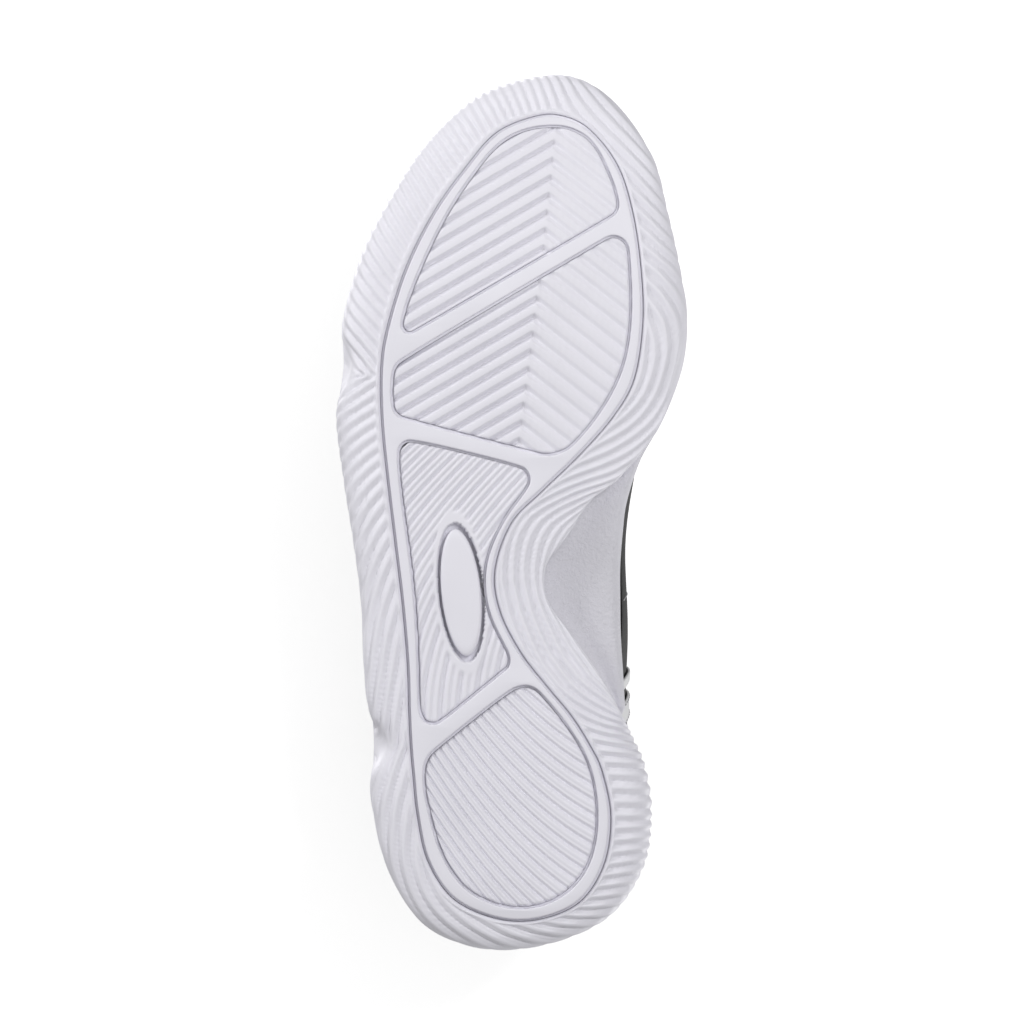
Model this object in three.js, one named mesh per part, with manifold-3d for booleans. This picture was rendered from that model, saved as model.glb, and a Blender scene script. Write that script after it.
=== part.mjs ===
// Right cheer shoe: ribbed cup sole, padded low-cut upper, tongue and heel pull tab.
// Millimetres, +Z up, toe towards -Y, heel towards +Y, inner side of the foot towards +X.
import * as THREE from 'three';
import { mergeVertices } from 'three/addons/utils/BufferGeometryUtils.js';
import Module from 'manifold-3d';

const wasm = await Module();
wasm.setup();

// ---- Driving dimensions ----
const FIT = 0.4;               // gap between pieces that touch on the real shoe
const TREAD_DEPTH = 6.2;       // ground to the top of the outsole floor
const SOLE_TOP = 26;           // ground to the top of the midsole, at the heel
const BALL_THIN = 0.82;        // sole height at the ball, as a share of the heel's
const TOE_THIN = 0.70;         // the same at the toe
const LIP_HEIGHT = 3;          // how far the cup wall stands above the midsole
const WALL = 3.8;              // cup wall at mid height
const LIP = 1.9;               // cup wall at its lip
const TOE_SPRING = 14;         // rise of the toe tip off the ground
const TOE_SPRING_START = -62;
const HEEL_BEVEL = 3;          // rise of the back edge of the heel
const HEEL_BEVEL_START = 118;
const HALF_LENGTH = 145;

const BAND_WIDTH = 4.3;        // smooth band of the sole frame
const BAR_WIDTH = 6.5;
const PAD_RECESS = 0.8;        // tread pads sit this far above the frame's face
const BADGE_LENGTH = 43;
const BADGE_WIDTH = 14;
const BADGE_DEPTH = 3;

const BOARD = 1.2;             // strobel board
const INSOLE = 4.2;
const FEATHER_INSET = 2;

const LINING = [0.3, 1.3];     // layers of the upper, as distances off the last
const STIFFENER = [1.7, 2.4];
const SHELL = [2.8, 4.2];
const OVERLAY = [4.6, 5.8];
const STRIPE = [4.6, 5.4];
const PADDING = [1.7, 6.0];
const COLLAR_DEPTH = 0.19;     // share of the side's height that the collar takes
const TONGUE = [-2.0, -0.7];
const TONGUE_FOAM = [-5.6, -2.4];
const TONGUE_LENGTH = 22;      // how far the tongue stands above the top eyelets

const EYELETS = 6;             // on each side
const EYELET_BORE = 4.2;
const EYELET_WALL = 0.6;
const EYELET_FLANGE = 8.2;
const EYELET_RIM = 0.9;

const TAB_WIDTH = 16;
const TAB_HEIGHT = 24;
const TAB_DEPTH = 8;
const TAB_WEB = 1.5;

// ---- Materials ----
const finish = (color, roughness) => () => new THREE.MeshStandardMaterial({ color, roughness });
const rubber = finish(0xe9e8f0, 0.55);
const foam = finish(0xdcdbe4, 0.7);
const leather = finish(0x17171a, 0.45);
const white = finish(0xf0f0f2, 0.5);
const textile = finish(0x26262a, 0.85);
const fibre = finish(0xcfc9bd, 0.9);
const enamel = finish(0x2a2a2e, 0.35);

const shoe = new THREE.Group();
function add(name, geometry, material) {
  const mesh = new THREE.Mesh(geometry, material());
  mesh.name = name;
  shoe.add(mesh);
}

// ---- Closed meshes and booleans ----
function geometryOf(positions) {
  const loose = new THREE.BufferGeometry();
  loose.setAttribute('position', new THREE.Float32BufferAttribute(positions, 3));
  return mergeVertices(loose, 1e-4);
}

function solid(geometry) {
  const bare = geometry.index ? geometry.toNonIndexed() : geometry;
  const merged = geometryOf(Array.from(bare.attributes.position.array));
  return new wasm.Manifold(new wasm.Mesh({
    numProp: 3,
    vertProperties: Float32Array.from(merged.attributes.position.array),
    triVerts: Uint32Array.from(merged.index.array),
  }));
}

function meshOf(manifold) {
  const mesh = manifold.getMesh();
  const geometry = new THREE.BufferGeometry();
  geometry.setAttribute('position', new THREE.BufferAttribute(mesh.vertProperties, 3));
  geometry.setIndex(new THREE.BufferAttribute(mesh.triVerts, 1));
  return geometry;
}

const cut = (geometry, ...tools) => meshOf(
  tools.reduce((body, tool) => body.subtract(solid(tool)), solid(geometry)));

// ---- Sole: plan outlines ----
// Stations round the sole, from the toe tip along the outer side to the heel and back:
// edge of the frame, widest line of the cup, and the line of its lip.
const STATIONS = [
  [[8, -131], [9, -145]], [[-5, -125.4], [-11.5, -138.3]], [[-15.7, -113.1], [-27, -124.5]],
  [[-25.6, -99], [-38, -108.5]], [[-34.7, -80.8], [-48.8, -87.5]], [[-40.9, -61], [-55.9, -62]],
  [[-43, -47.7], [-53.3, -48.5], [-56.3, -48.5]], [[-42.8, -30.4], [-57.8, -33]],
  [[-40.8, -10], [-55.4, -10.4]], [[-38.4, 10], [-52.2, 10]], [[-36, 30], [-49.7, 30]],
  [[-34.3, 50], [-48.8, 51]], [[-33.8, 66], [-47, 66]],
  [[-33.3, 76.5], [-41.6, 76.5], [-46.3, 76.5]], [[-32.4, 87], [-46.5, 87.5]],
  [[-31, 100], [-45.4, 101]], [[-27.5, 115], [-40.5, 119]], [[-19, 127.5], [-29, 136.5]],
  [[-5, 134], [-9.9, 144.6]], [[9, 134.3], [12, 143.2]], [[22.5, 128.5], [32.2, 134.1]],
  [[30.6, 115.9], [43.8, 117.6]], [[32.8, 100], [46.6, 99]], [[29.8, 84.9], [44.2, 83.5]],
  [[25.6, 76.2], [40, 74]], [[20, 67.3], [35.8, 65.5], [38.2, 66]],
  [[12, 57.6], [29, 53.5], [37.4, 54]], [[3.3, 46.4], [20, 40.6], [36.6, 41]],
  [[-3.7, 32.6], [12, 29], [36.4, 29]], [[-5.4, 19], [11.5, 18], [36.4, 18]],
  [[0, 3.5], [18.5, 8], [37.2, 7]], [[10.3, -7.1], [26, -3.5], [38.6, -3.5]],
  [[22.6, -19], [36.4, -12], [43, -17]], [[33.7, -31.7], [48.8, -28], [50, -30]],
  [[40.5, -44], [56.5, -47.5]], [[43.3, -62], [58.2, -64]], [[42.8, -80], [55.8, -81]],
  [[40.1, -99], [51.8, -99.5]], [[35.1, -114.7], [47, -117.5]], [[26, -126.5], [36, -134.3]],
  [[17, -131.1], [23.5, -143.7]],
];
const ARCH = [24.8, 33.2];     // stations between which the cup wall leaves the foam bare
const ARCH_EDGE_HEIGHT = 3.5;  // lower lip of the outsole along the arch hollow
const ARCH_TOP = 13;           // height at which the hollow meets the outer face

const loop = (which) => new THREE.CatmullRomCurve3(
  STATIONS.map((s) => new THREE.Vector3(...(s[which] ?? s[1]), 0)), true, 'catmullrom', 0.5);
const frameEdge = loop(0);
const widest = loop(1);
const lipLine = loop(2);
const at = (curve, u) => curve.getPoint((((u / STATIONS.length) % 1) + 1) % 1);

// A point of a loop moved towards the inside of the sole by a distance.
function inset(curve, u, distance) {
  const ahead = at(curve, u + 0.02);
  const behind = at(curve, u - 0.02);
  const along = ahead.sub(behind).normalize();
  return at(curve, u).add(new THREE.Vector3(along.y, -along.x, 0).multiplyScalar(distance));
}

const ramp = (x, from, to) => THREE.MathUtils.smoothstep(x, from, to);
const mix = THREE.MathUtils.lerp;

// The flat-built sole is thinned towards the toe and lifted at both ends.
function soleHeight(y) {
  const ball = mix(1, BALL_THIN, ramp(-y, -60, 60));
  return mix(ball, TOE_THIN, ramp(-y, 60, HALF_LENGTH));
}
function lift(y) {
  const toe = Math.max(0, TOE_SPRING_START - y) / (HALF_LENGTH + TOE_SPRING_START);
  const heel = Math.max(0, y - HEEL_BEVEL_START) / (HALF_LENGTH - HEEL_BEVEL_START);
  return TOE_SPRING * toe ** 1.8 + HEEL_BEVEL * heel ** 2;
}
const soleZ = (y, z) => z * soleHeight(y) + lift(y);

// Planes of constant y that the flat-built pieces are cut at, so that they can bend there.
const span = (from, to, step) => {
  const planes = [];
  for (let i = 0; from + i * step <= to; i += 1) planes.push(from + i * step);
  return planes;
};
const BEND_PLANES = [...span(-HALF_LENGTH + 12, TOE_SPRING_START, 12),
  ...span(TOE_SPRING_START + 32, HEEL_BEVEL_START - 20, 36),
  ...span(HEEL_BEVEL_START, HALF_LENGTH, 10)];
function bend(geometry) {
  let triangles = [];
  const source = geometry.index ? geometry.toNonIndexed() : geometry;
  const p = source.attributes.position;
  for (let i = 0; i < p.count; i += 3) {
    triangles.push([0, 1, 2].map((k) => new THREE.Vector3().fromBufferAttribute(p, i + k)));
  }
  for (const y of BEND_PLANES) {
    triangles = triangles.flatMap((triangle) => splitAt(triangle, y));
  }
  const flat = [];
  for (const triangle of triangles) {
    for (const v of triangle) flat.push(v.x, v.y, soleZ(v.y, v.z));
  }
  return geometryOf(flat);
}

// Cuts one triangle where it crosses a plane of constant y.
function splitAt(triangle, y) {
  const side = triangle.map((v) => (Math.abs(v.y - y) < 1e-3 ? 0 : Math.sign(v.y - y)));
  if (!(side.includes(1) && side.includes(-1))) return [triangle];
  const start = side.includes(0) ? side.indexOf(0) : side.indexOf(
    side.filter((s) => s === 1).length === 1 ? 1 : -1);
  const [a, b, c] = [0, 1, 2].map((k) => triangle[(start + k) % 3]);
  const crossing = (p, q) => {
    const [low, high] = p.y < q.y ? [p, q] : [q, p];
    return low.clone().lerp(high, (y - low.y) / (high.y - low.y));
  };
  if (side.includes(0)) {
    const m = crossing(b, c);
    return [[a, b, m], [a, m, c]];
  }
  const m = crossing(a, b);
  const n = crossing(a, c);
  return [[a, m, n], [m, b, c], [m, c, n]];
}

// ---- Lofts ----
// Rings of points are joined in order; a closed loft joins the last ring to the first.
function loft(rings, closed) {
  const out = [];
  const put = (...points) => points.forEach((v) => out.push(v.x, v.y, v.z));
  const size = rings[0].length;
  const spans = closed ? rings.length : rings.length - 1;
  for (let i = 0; i < spans; i += 1) {
    const a = rings[i];
    const b = rings[(i + 1) % rings.length];
    for (let k = 0; k < size; k += 1) {
      const n = (k + 1) % size;
      put(a[k], b[k], b[n]);
      put(a[k], b[n], a[n]);
    }
  }
  if (!closed) {
    const last = rings[rings.length - 1];
    cap(rings[0]).forEach(([i, j, k]) => put(rings[0][i], rings[0][j], rings[0][k]));
    cap(last).forEach(([i, j, k]) => put(last[k], last[j], last[i]));
  }
  return geometryOf(out);
}
// Triangles across a ring, wound the way the ring runs.
function cap(ring) {
  const flat = ring.map((v) => new THREE.Vector2(v.x, v.y));
  const triangles = THREE.ShapeUtils.triangulateShape(flat, []);
  const total = triangles.reduce(
    (sum, t) => sum + THREE.ShapeUtils.area(t.map((i) => flat[i])), 0);
  const same = total * THREE.ShapeUtils.area(flat) > 0;
  return !same ? triangles.map((t) => [...t].reverse()) : triangles;
}

function outward(geometry) {
  let volume = 0;
  const p = geometry.attributes.position;
  const corner = (i) => new THREE.Vector3().fromBufferAttribute(p, geometry.index.getX(i));
  for (let i = 0; i < geometry.index.count; i += 3) {
    volume += corner(i).dot(corner(i + 1).cross(corner(i + 2)));
  }
  if (volume < 0) {
    const index = geometry.index.array;
    for (let i = 0; i < index.length; i += 3) [index[i], index[i + 1]] = [index[i + 1], index[i]];
  }
  return geometry;
}

// A plate of a plan outline between two heights.
function plate(points, low, high) {
  const shape = new THREE.Shape(points.map((v) => new THREE.Vector2(v.x, v.y)));
  return new THREE.ExtrudeGeometry(shape, { depth: high - low, bevelEnabled: false })
    .translate(0, 0, low);
}
const around = (count, pointAt) => Array.from({ length: count }, (_, i) => pointAt(i));
const EDGE_POINTS = 62;
const outline = (curve, distance) => around(
  EDGE_POINTS, (i) => inset(curve, (i * STATIONS.length) / EDGE_POINTS, distance));

// ---- Sole frame and tread pads ----
const BARS = [
  [[-34, -55.1], [30, -92.6]],
  [[-33, -27.1], [3, -18]],
  [[-24, 73.5], [-2, 55.8]],
];
const FRAME_BELOW = -5;
function bar([from, to], width) {
  const start = new THREE.Vector2(...from);
  const end = new THREE.Vector2(...to);
  const along = end.clone().sub(start).normalize();
  const side = new THREE.Vector2(-along.y, along.x).multiplyScalar(width / 2);
  start.addScaledVector(along, -30);
  end.addScaledVector(along, 30);
  return plate([start.clone().add(side), start.clone().sub(side), end.clone().sub(side),
    end.clone().add(side)], FRAME_BELOW - 1, TREAD_DEPTH + 1);
}
const windows = cut(plate(outline(frameEdge, BAND_WIDTH), FRAME_BELOW, TREAD_DEPTH + 0.5),
  ...BARS.map((line) => bar(line, BAR_WIDTH)));
add('sole_frame', bend(cut(plate(outline(frameEdge, 0), 0, TREAD_DEPTH), windows)), rubber);

const badgeCentre = [-16.5, 26.5];
const BADGE_TURN = -0.1;
function badge(grow, low, high) {
  const points = around(20, (i) => {
    const angle = (i / 20) * 2 * Math.PI;
    return new THREE.Vector2((BADGE_WIDTH / 2 + grow) * Math.cos(angle),
      (BADGE_LENGTH / 2 + grow) * Math.sin(angle));
  });
  return plate(points, low, high).rotateZ(BADGE_TURN).translate(...badgeCentre, 0);
}
const padBlank = solid(cut(
  plate(outline(frameEdge, BAND_WIDTH + FIT), PAD_RECESS, TREAD_DEPTH),
  ...BARS.map((line) => bar(line, BAR_WIDTH + 2 * FIT)),
  badge(FIT, PAD_RECESS - 1, PAD_RECESS + BADGE_DEPTH + FIT)));
// The badge keeps clear of the band, so it is trimmed where the band reaches it.
const beyondWindows = cut(plate(outline(frameEdge, -1), 0, TREAD_DEPTH),
  plate(outline(frameEdge, BAND_WIDTH + FIT), -1, TREAD_DEPTH + 1));
const pads = padBlank.decompose()
  .sort((a, b) => a.boundingBox().min[1] - b.boundingBox().min[1]);
['toe', 'ball', 'midfoot', 'heel'].forEach((place, i) => {
  add(`tread_pad_${place}`, bend(meshOf(pads[i])), rubber);
});
add('midfoot_badge', bend(cut(badge(0, PAD_RECESS - 0.3, PAD_RECESS + BADGE_DEPTH),
  beyondWindows)), rubber);

// ---- Outsole shell: floor between frame and edge, and the cup wall ----
const EDGE_HEIGHT = 11;        // height of the widest line
const wallFall = (u) => ramp(u, ARCH[0] - 0.3, ARCH[0]) * (1 - ramp(u, ARCH[1], ARCH[1] + 0.3));
const foamReach = (u) => ramp(u, ARCH[0] + 0.15, ARCH[0] + 0.45)
  * (1 - ramp(u, ARCH[1] - 0.45, ARCH[1] - 0.15));
const soleSteps = around(EDGE_POINTS, (i) => (i * STATIONS.length) / EDGE_POINTS).concat(
  [ARCH[0] - 0.15, ARCH[0], ARCH[0] + 0.15, ARCH[0] + 0.45],
  [ARCH[1] - 0.45, ARCH[1] - 0.15, ARCH[1], ARCH[1] + 0.15, ARCH[1] + 0.3])
  .sort((a, b) => a - b)
  .filter((u, i, all) => i === 0 || u - all[i - 1] > 0.08);

const shellRings = soleSteps.map((u) => {
  const fall = wallFall(u);
  const inner = inset(frameEdge, u, -FIT);
  const outer = at(widest, u);
  const lipOut = inset(lipLine, u, 0.5).lerp(inset(widest, u, 0.5), fall);
  const lipIn = inset(lipLine, u, 0.5 + LIP).lerp(inset(widest, u, 0.5 + LIP), fall);
  const wallIn = inset(widest, u, WALL);
  const top = mix(SOLE_TOP + LIP_HEIGHT, TREAD_DEPTH + FIT, fall);
  const z = (v, height) => v.clone().setZ(height);
  return [
    z(inner, 0.6), z(inner.clone().lerp(outer, 0.55), 1.6),
    z(inner.clone().lerp(outer, 0.9), mix(5, 2.4, fall)),
    z(outer, mix(EDGE_HEIGHT, ARCH_EDGE_HEIGHT, fall)),
    z(lipOut, top), z(lipIn, top), z(wallIn, mix(16, TREAD_DEPTH + 0.2, fall)),
    z(inset(widest, u, WALL + 0.1), TREAD_DEPTH), z(inner, TREAD_DEPTH),
  ];
});
add('outsole_shell', outward(bend(loft(shellRings, true))), rubber);

// ---- Midsole foam: core inside the cup, reaching the outer face at the arch ----
const foamRing = (fraction, height) => soleSteps.map((u) => {
  const core = inset(widest, u, WALL + FIT);
  const bare = inset(widest, u, 1).lerp(inset(lipLine, u, 0.2), fraction);
  const reach = foamReach(u);
  return core.lerp(bare, reach).setZ(mix(mix(TREAD_DEPTH + 2 * FIT, SOLE_TOP, height[0]),
    height[1], reach));
});
const foamRings = [
  foamRing(0, [0, TREAD_DEPTH + 2 * FIT]),
  foamRing(0.9, [0.3, ARCH_TOP]),
  foamRing(1, [0.6, ARCH_TOP + 4]),
  foamRing(1, [1, SOLE_TOP]),
];
add('midsole', outward(bend(loft(foamRings, false))), foam);

// ---- Upper: the last surface ----
// Ribs run from the feather line to the top line. Ribs 0-7 end on the collar and the
// throat, ribs 7-10 end on the ridge over the toes, where both sides meet.
const BASE_LATERAL = [[0, 136.5], [-25.5, 128.5], [-36.7, 105], [-38.5, 75], [-40.5, 40],
  [-44.5, 5], [-49, -30], [-47, -65], [-37, -95], [-20.5, -118], [10, -136]];
const BASE_MEDIAL = [[0, 136.5], [27, 128.5], [38, 105], [32, 75], [34, 40],
  [34.8, 5], [41.5, -30], [49.5, -62], [43.8, -95], [34.5, -121.5], [10, -136]];
const TOP_LINE = [[0, 127, 94], [22, 117, 86], [31, 97, 76], [28, 74, 82], [17, 51, 101],
  [14, 14, 85], [10, -20, 70]];
const RIDGE = [[0, -42, 62.5], [3, -75, 58], [6.5, -102, 54.5], [9, -118, 51]];
// How far each rib leans out and rises from its foot, and leans out and falls from its top.
const RIB_SHAPE = [[4, 24, 5, 24], [4, 24, 5, 22], [4, 22, 4, 18], [4, 22, 5, 20],
  [4, 28, 12, 20], [5, 26, 16, 16], [5, 22, 18, 8], [5, 19, 24, 3], [4, 17, 22, 2],
  [3, 14, 18, 1.5], [2, 11, 11, 1]];
const TOE_RIB = 10;
const RIDGE_RIB = 7;

const v3 = (p) => new THREE.Vector3(p[0], p[1], p[2] ?? 0);
const curve3 = (points, closed) => new THREE.CatmullRomCurve3(points, closed, 'catmullrom', 0.5);
const baseCurve = curve3(
  [...BASE_LATERAL.map(v3), ...BASE_MEDIAL.slice(1, TOE_RIB).reverse().map(v3)], true);
const topSide = (sign) => TOP_LINE.map(([x, y, z]) => new THREE.Vector3(sign * x, y, z));
const topCurve = curve3([v3(RIDGE[0]), ...topSide(-1).reverse(), ...topSide(1).slice(1),
  v3(RIDGE[0])], false);
const ridgeCurve = curve3(RIDGE.map(v3), false);
const shapeCurves = [0, 1, 2, 3].map((k) => new THREE.CatmullRomCurve3(
  RIB_SHAPE.map((row, i) => new THREE.Vector3(i, row[k], 0)), false, 'catmullrom', 0.5));

// w runs 0 (heel) to 10 (toe) on the outer side and on to 20 (heel) on the inner side.
const TURN = 2 * TOE_RIB;
const wrap = (w) => ((w % TURN) + TURN) % TURN;
const ribOf = (w) => (wrap(w) <= TOE_RIB ? wrap(w) : TURN - wrap(w));

function footPoint(w) {
  const u = wrap(w) / TURN;
  const along = baseCurve.getPoint((u + 0.001) % 1).sub(baseCurve.getPoint((u + 0.999) % 1));
  const out = new THREE.Vector3(along.y, -along.x, 0).normalize();
  const foot = baseCurve.getPoint(u).addScaledVector(out, -FEATHER_INSET);
  foot.z = soleZ(foot.y, SOLE_TOP) + FIT;
  return { foot, out };
}

function onLast(w, t) {
  const rib = ribOf(w);
  const { foot, out } = footPoint(w);
  const outer = wrap(w) <= TOE_RIB;
  const top = rib >= RIDGE_RIB
    ? ridgeCurve.getPoint((rib - RIDGE_RIB) / (TOE_RIB - RIDGE_RIB))
    : topCurve.getPoint((outer ? RIDGE_RIB - rib : RIDGE_RIB + rib) / (2 * RIDGE_RIB));
  const [lean, rise, topLean, fall] = shapeCurves.map((c) => c.getPoint(rib / TOE_RIB).y);
  const low = foot.clone().addScaledVector(out, lean);
  low.z += rise;
  const high = top.clone().addScaledVector(out, topLean);
  high.z -= fall;
  return new THREE.CubicBezierCurve3(foot, low, high, top).getPoint(t);
}

function normalAt(w, t) {
  const near = THREE.MathUtils.clamp(t, 0.01, 0.98);
  const alongW = onLast(w + 0.01, near).sub(onLast(w - 0.01, near));
  const alongT = onLast(w, near + 0.01).sub(onLast(w, near - 0.01));
  return alongW.cross(alongT).normalize();
}

function offLast(w, t, distance) {
  const normal = normalAt(w, t);
  if (t === 1 && ribOf(w) >= RIDGE_RIB) normal.add(normalAt(TURN - w, t)).normalize();
  const point = onLast(w, t).addScaledVector(normal, distance);
  point.z = Math.max(point.z, soleZ(point.y, SOLE_TOP) + FIT);
  return point;
}

// All sheets share these lines of the last surface, so that stacked layers stay parallel.
const RIB_STEP = 1 / 3;
const ROW_STEP = 0.125;
function shared(from, to, step) {
  const inside = around(Math.ceil((to - from) / step) + 1,
    (i) => Number(((Math.ceil(from / step) + i) * step).toFixed(6)));
  return [from, ...inside.filter((x) => x - from > step / 5 && to - x > step / 5), to];
}

// A sheet of the upper: a grid of the last surface between two distances off it.
// Over the ridge the two sides are one piece, so no edge wall stands there.
function sheet({ from, to, low = 0, high = () => 1, layer, slant = 0 }) {
  const closed = to - from === TURN;
  const ws = shared(from, to, RIB_STEP);
  const full = shared(low, high((from + to) / 2), ROW_STEP);
  const steps = ws.length - 1;
  const rows = full.length - 1;
  const grid = layer.map((distance) => ws.map((w) => full.map((row, j) => {
    const t = j === rows ? high(w) : Math.min(row, high(w) - (rows - j) * 0.02);
    return offLast(w + slant * t, t, distance);
  })));
  const [inner, outer] = grid;
  const out = [];
  const quad = (a, b, c, d) => [a, b, c, a, c, d].forEach((v) => out.push(v.x, v.y, v.z));
  for (let i = 0; i < steps; i += 1) {
    for (let j = 0; j < rows; j += 1) {
      quad(outer[i][j], outer[i][j + 1], outer[i + 1][j + 1], outer[i + 1][j]);
      quad(inner[i][j], inner[i + 1][j], inner[i + 1][j + 1], inner[i][j + 1]);
    }
    quad(outer[i][0], outer[i + 1][0], inner[i + 1][0], inner[i][0]);
    const middle = ribOf((ws[i] + ws[i + 1]) / 2);
    if (!(middle > RIDGE_RIB && high(ws[i]) === 1)) {
      quad(inner[i][rows], inner[i + 1][rows], outer[i + 1][rows], outer[i][rows]);
    }
  }
  if (!closed) {
    for (let j = 0; j < rows; j += 1) {
      quad(inner[0][j], inner[0][j + 1], outer[0][j + 1], outer[0][j]);
      quad(outer[steps][j], outer[steps][j + 1], inner[steps][j + 1], inner[steps][j]);
    }
  }
  return outward(dropSlivers(geometryOf(out)));
}

// The doubled line over the ridge leaves triangles with two equal corners.
function dropSlivers(geometry) {
  const kept = [];
  const index = geometry.index.array;
  for (let i = 0; i < index.length; i += 3) {
    const [a, b, c] = index.slice(i, i + 3);
    if (a !== b && b !== c && a !== c) kept.push(a, b, c);
  }
  geometry.setIndex(kept);
  return geometry;
}

// ---- Strobel board and insole ----
const BOTTOM_POINTS = 40;
const bottomLoop = (distance) => around(BOTTOM_POINTS, (i) => {
  const { foot, out } = footPoint((i * TURN) / BOTTOM_POINTS);
  return foot.addScaledVector(out, -distance);
});
const boardTop = SOLE_TOP + FIT + BOARD;
add('strobel_board', bend(plate(bottomLoop(FIT), SOLE_TOP + FIT, boardTop)), fibre);
add('insole', bend(plate(bottomLoop(FIT + 0.4), boardTop + FIT, boardTop + FIT + INSOLE)),
  textile);

// ---- Eyelets: places, holes and rings ----
const EYELET_ROW = 0.93;
const EYELET_SIDES = 8;
const eyeletRibs = around(EYELETS, (i) => mix(4.25, 6, i / (EYELETS - 1)));
const eyeletPlace = (w) => ({ centre: onLast(w, EYELET_ROW), axis: normalAt(w, EYELET_ROW) });
const turnTo = (axis) => new THREE.Quaternion().setFromUnitVectors(
  new THREE.Vector3(0, 1, 0), axis);

function eyeletHole(w) {
  const { centre, axis } = eyeletPlace(w);
  const radius = EYELET_BORE / 2 + EYELET_WALL + FIT;
  return new THREE.CylinderGeometry(radius, radius, 16, EYELET_SIDES)
    .translate(0, 3, 0).applyQuaternion(turnTo(axis)).translate(...centre);
}
function eyeletRing(w) {
  const { centre, axis } = eyeletPlace(w);
  const seat = OVERLAY[1] + FIT;
  const bore = EYELET_BORE / 2;
  const barrel = bore + EYELET_WALL;
  const flange = EYELET_FLANGE / 2;
  const profile = [[bore, LINING[0]], [barrel, LINING[0]], [barrel, seat], [flange, seat],
    [flange - 0.4, seat + EYELET_RIM], [bore, seat + EYELET_RIM], [bore, LINING[0]]];
  return outward(dropSlivers(geometryOf(Array.from(
    new THREE.LatheGeometry(profile.map((p) => new THREE.Vector2(...p)), EYELET_SIDES)
      .toNonIndexed().applyQuaternion(turnTo(axis)).translate(...centre)
      .attributes.position.array))));
}
const holesOf = (side) => eyeletRibs.map((rib) => eyeletHole(side(rib)));
const lateral = (rib) => rib;
const medial = (rib) => TURN - rib;
const allHoles = [...holesOf(lateral), ...holesOf(medial)];

// ---- Upper pieces ----
const BACK_SEAM = 0.06;
const VAMP_SEAM = 5.9;
const SEAM_GAP = 0.04;
const collarFront = 4;
const shellTop = (w) => mix(1 - COLLAR_DEPTH - 0.012, 1,
  ramp(ribOf(w), collarFront - 0.25, collarFront + 0.15));

add('lining', cut(sheet({ from: 0, to: TURN, layer: LINING }), ...allHoles),
  textile);
add('toe_puff', sheet({ from: 7.9, to: 12.1, high: () => 0.75,
  layer: STIFFENER }), fibre);
add('heel_stiffener', sheet({ from: -2.4, to: 2.4, high: () => 0.625,
  layer: STIFFENER }), fibre);
add('vamp', cut(sheet({ from: VAMP_SEAM + SEAM_GAP, to: TURN - VAMP_SEAM - SEAM_GAP,
  layer: SHELL }), ...allHoles), leather);
for (const [name, side] of [['lateral', lateral], ['medial', medial]]) {
  const ends = [side(BACK_SEAM), side(VAMP_SEAM)].sort((a, b) => a - b);
  add(`quarter_${name}`, cut(sheet({ from: ends[0], to: ends[1],
    high: shellTop, layer: SHELL }), ...holesOf(side)), leather);
  const stay = [side(4.12), side(6.85)].sort((a, b) => a - b);
  add(`eyestay_${name}`, cut(sheet({ from: stay[0], to: stay[1],
    low: 0.875, layer: OVERLAY }), ...holesOf(side)), leather);
  const lean = name === 'lateral' ? 1 : -1;
  [['front', 3.42, 3.52], ['rear', 3.02, 3.26]].forEach(([place, start, end]) => {
    const edges = [side(start), side(end)].sort((a, b) => a - b);
    add(`stripe_${name}_${place}`, sheet({ from: edges[0], to: edges[1],
      low: 0.02, high: () => 0.75, layer: STRIPE, slant: lean * 0.62 }), white);
  });
  eyeletRibs.forEach((rib, i) => add(`eyelet_${name}_${i + 1}`, eyeletRing(side(rib)), enamel));
}
add('toe_guard', sheet({ from: 7.7, to: 12.3, high: () => 0.5,
  layer: OVERLAY }), leather);
add('heel_counter', sheet({ from: -2.3, to: 2.3, high: () => 0.625,
  layer: OVERLAY }), leather);
add('collar_padding', sheet({ from: -collarFront + 0.3, to: collarFront - 0.3,
  low: 1 - COLLAR_DEPTH, layer: PADDING }), textile);

// ---- Tongue: follows the sides from inside and bridges the throat ----
const TONGUE_FOOT_RIB = 6.4;
const TONGUE_TOP_RIB = 4.2;
const TONGUE_ROWS = 9;
const EXTRA_ROWS = 3;
const tongueRise = new THREE.Vector3(0, 0.6, 0.8);
const tongueTaper = [0.80, 0.94];
const TONGUE_NARROWING = 0.22;

// One cross row, side to side, at a distance off the last.
function tongueRow(rib, beyond, distance) {
  const share = (TONGUE_FOOT_RIB - rib) / (TONGUE_FOOT_RIB - TONGUE_TOP_RIB);
  const edge = mix(tongueTaper[0], tongueTaper[1], share);
  const flap = [0, 1, 2].map((k) => mix(edge, 0.985, k / 2));
  const outerSide = flap.map((t) => offLast(rib, t, distance));
  const innerSide = flap.map((t) => offLast(TURN - rib, t, distance)).reverse();
  const a = outerSide[2];
  const b = innerSide[0];
  const crown = 0.1 * onLast(rib, 1).distanceTo(onLast(TURN - rib, 1));
  const bridge = [0.25, 0.5, 0.75].map((f) => {
    const point = a.clone().lerp(b, f);
    point.z += crown * Math.sin(Math.PI * f);
    return point;
  });
  const narrowing = 1 - TONGUE_NARROWING * (beyond / TONGUE_LENGTH);
  return [...outerSide, ...bridge, ...innerSide].map((point) => {
    point.x *= narrowing;
    return point.addScaledVector(tongueRise, beyond);
  });
}
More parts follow.
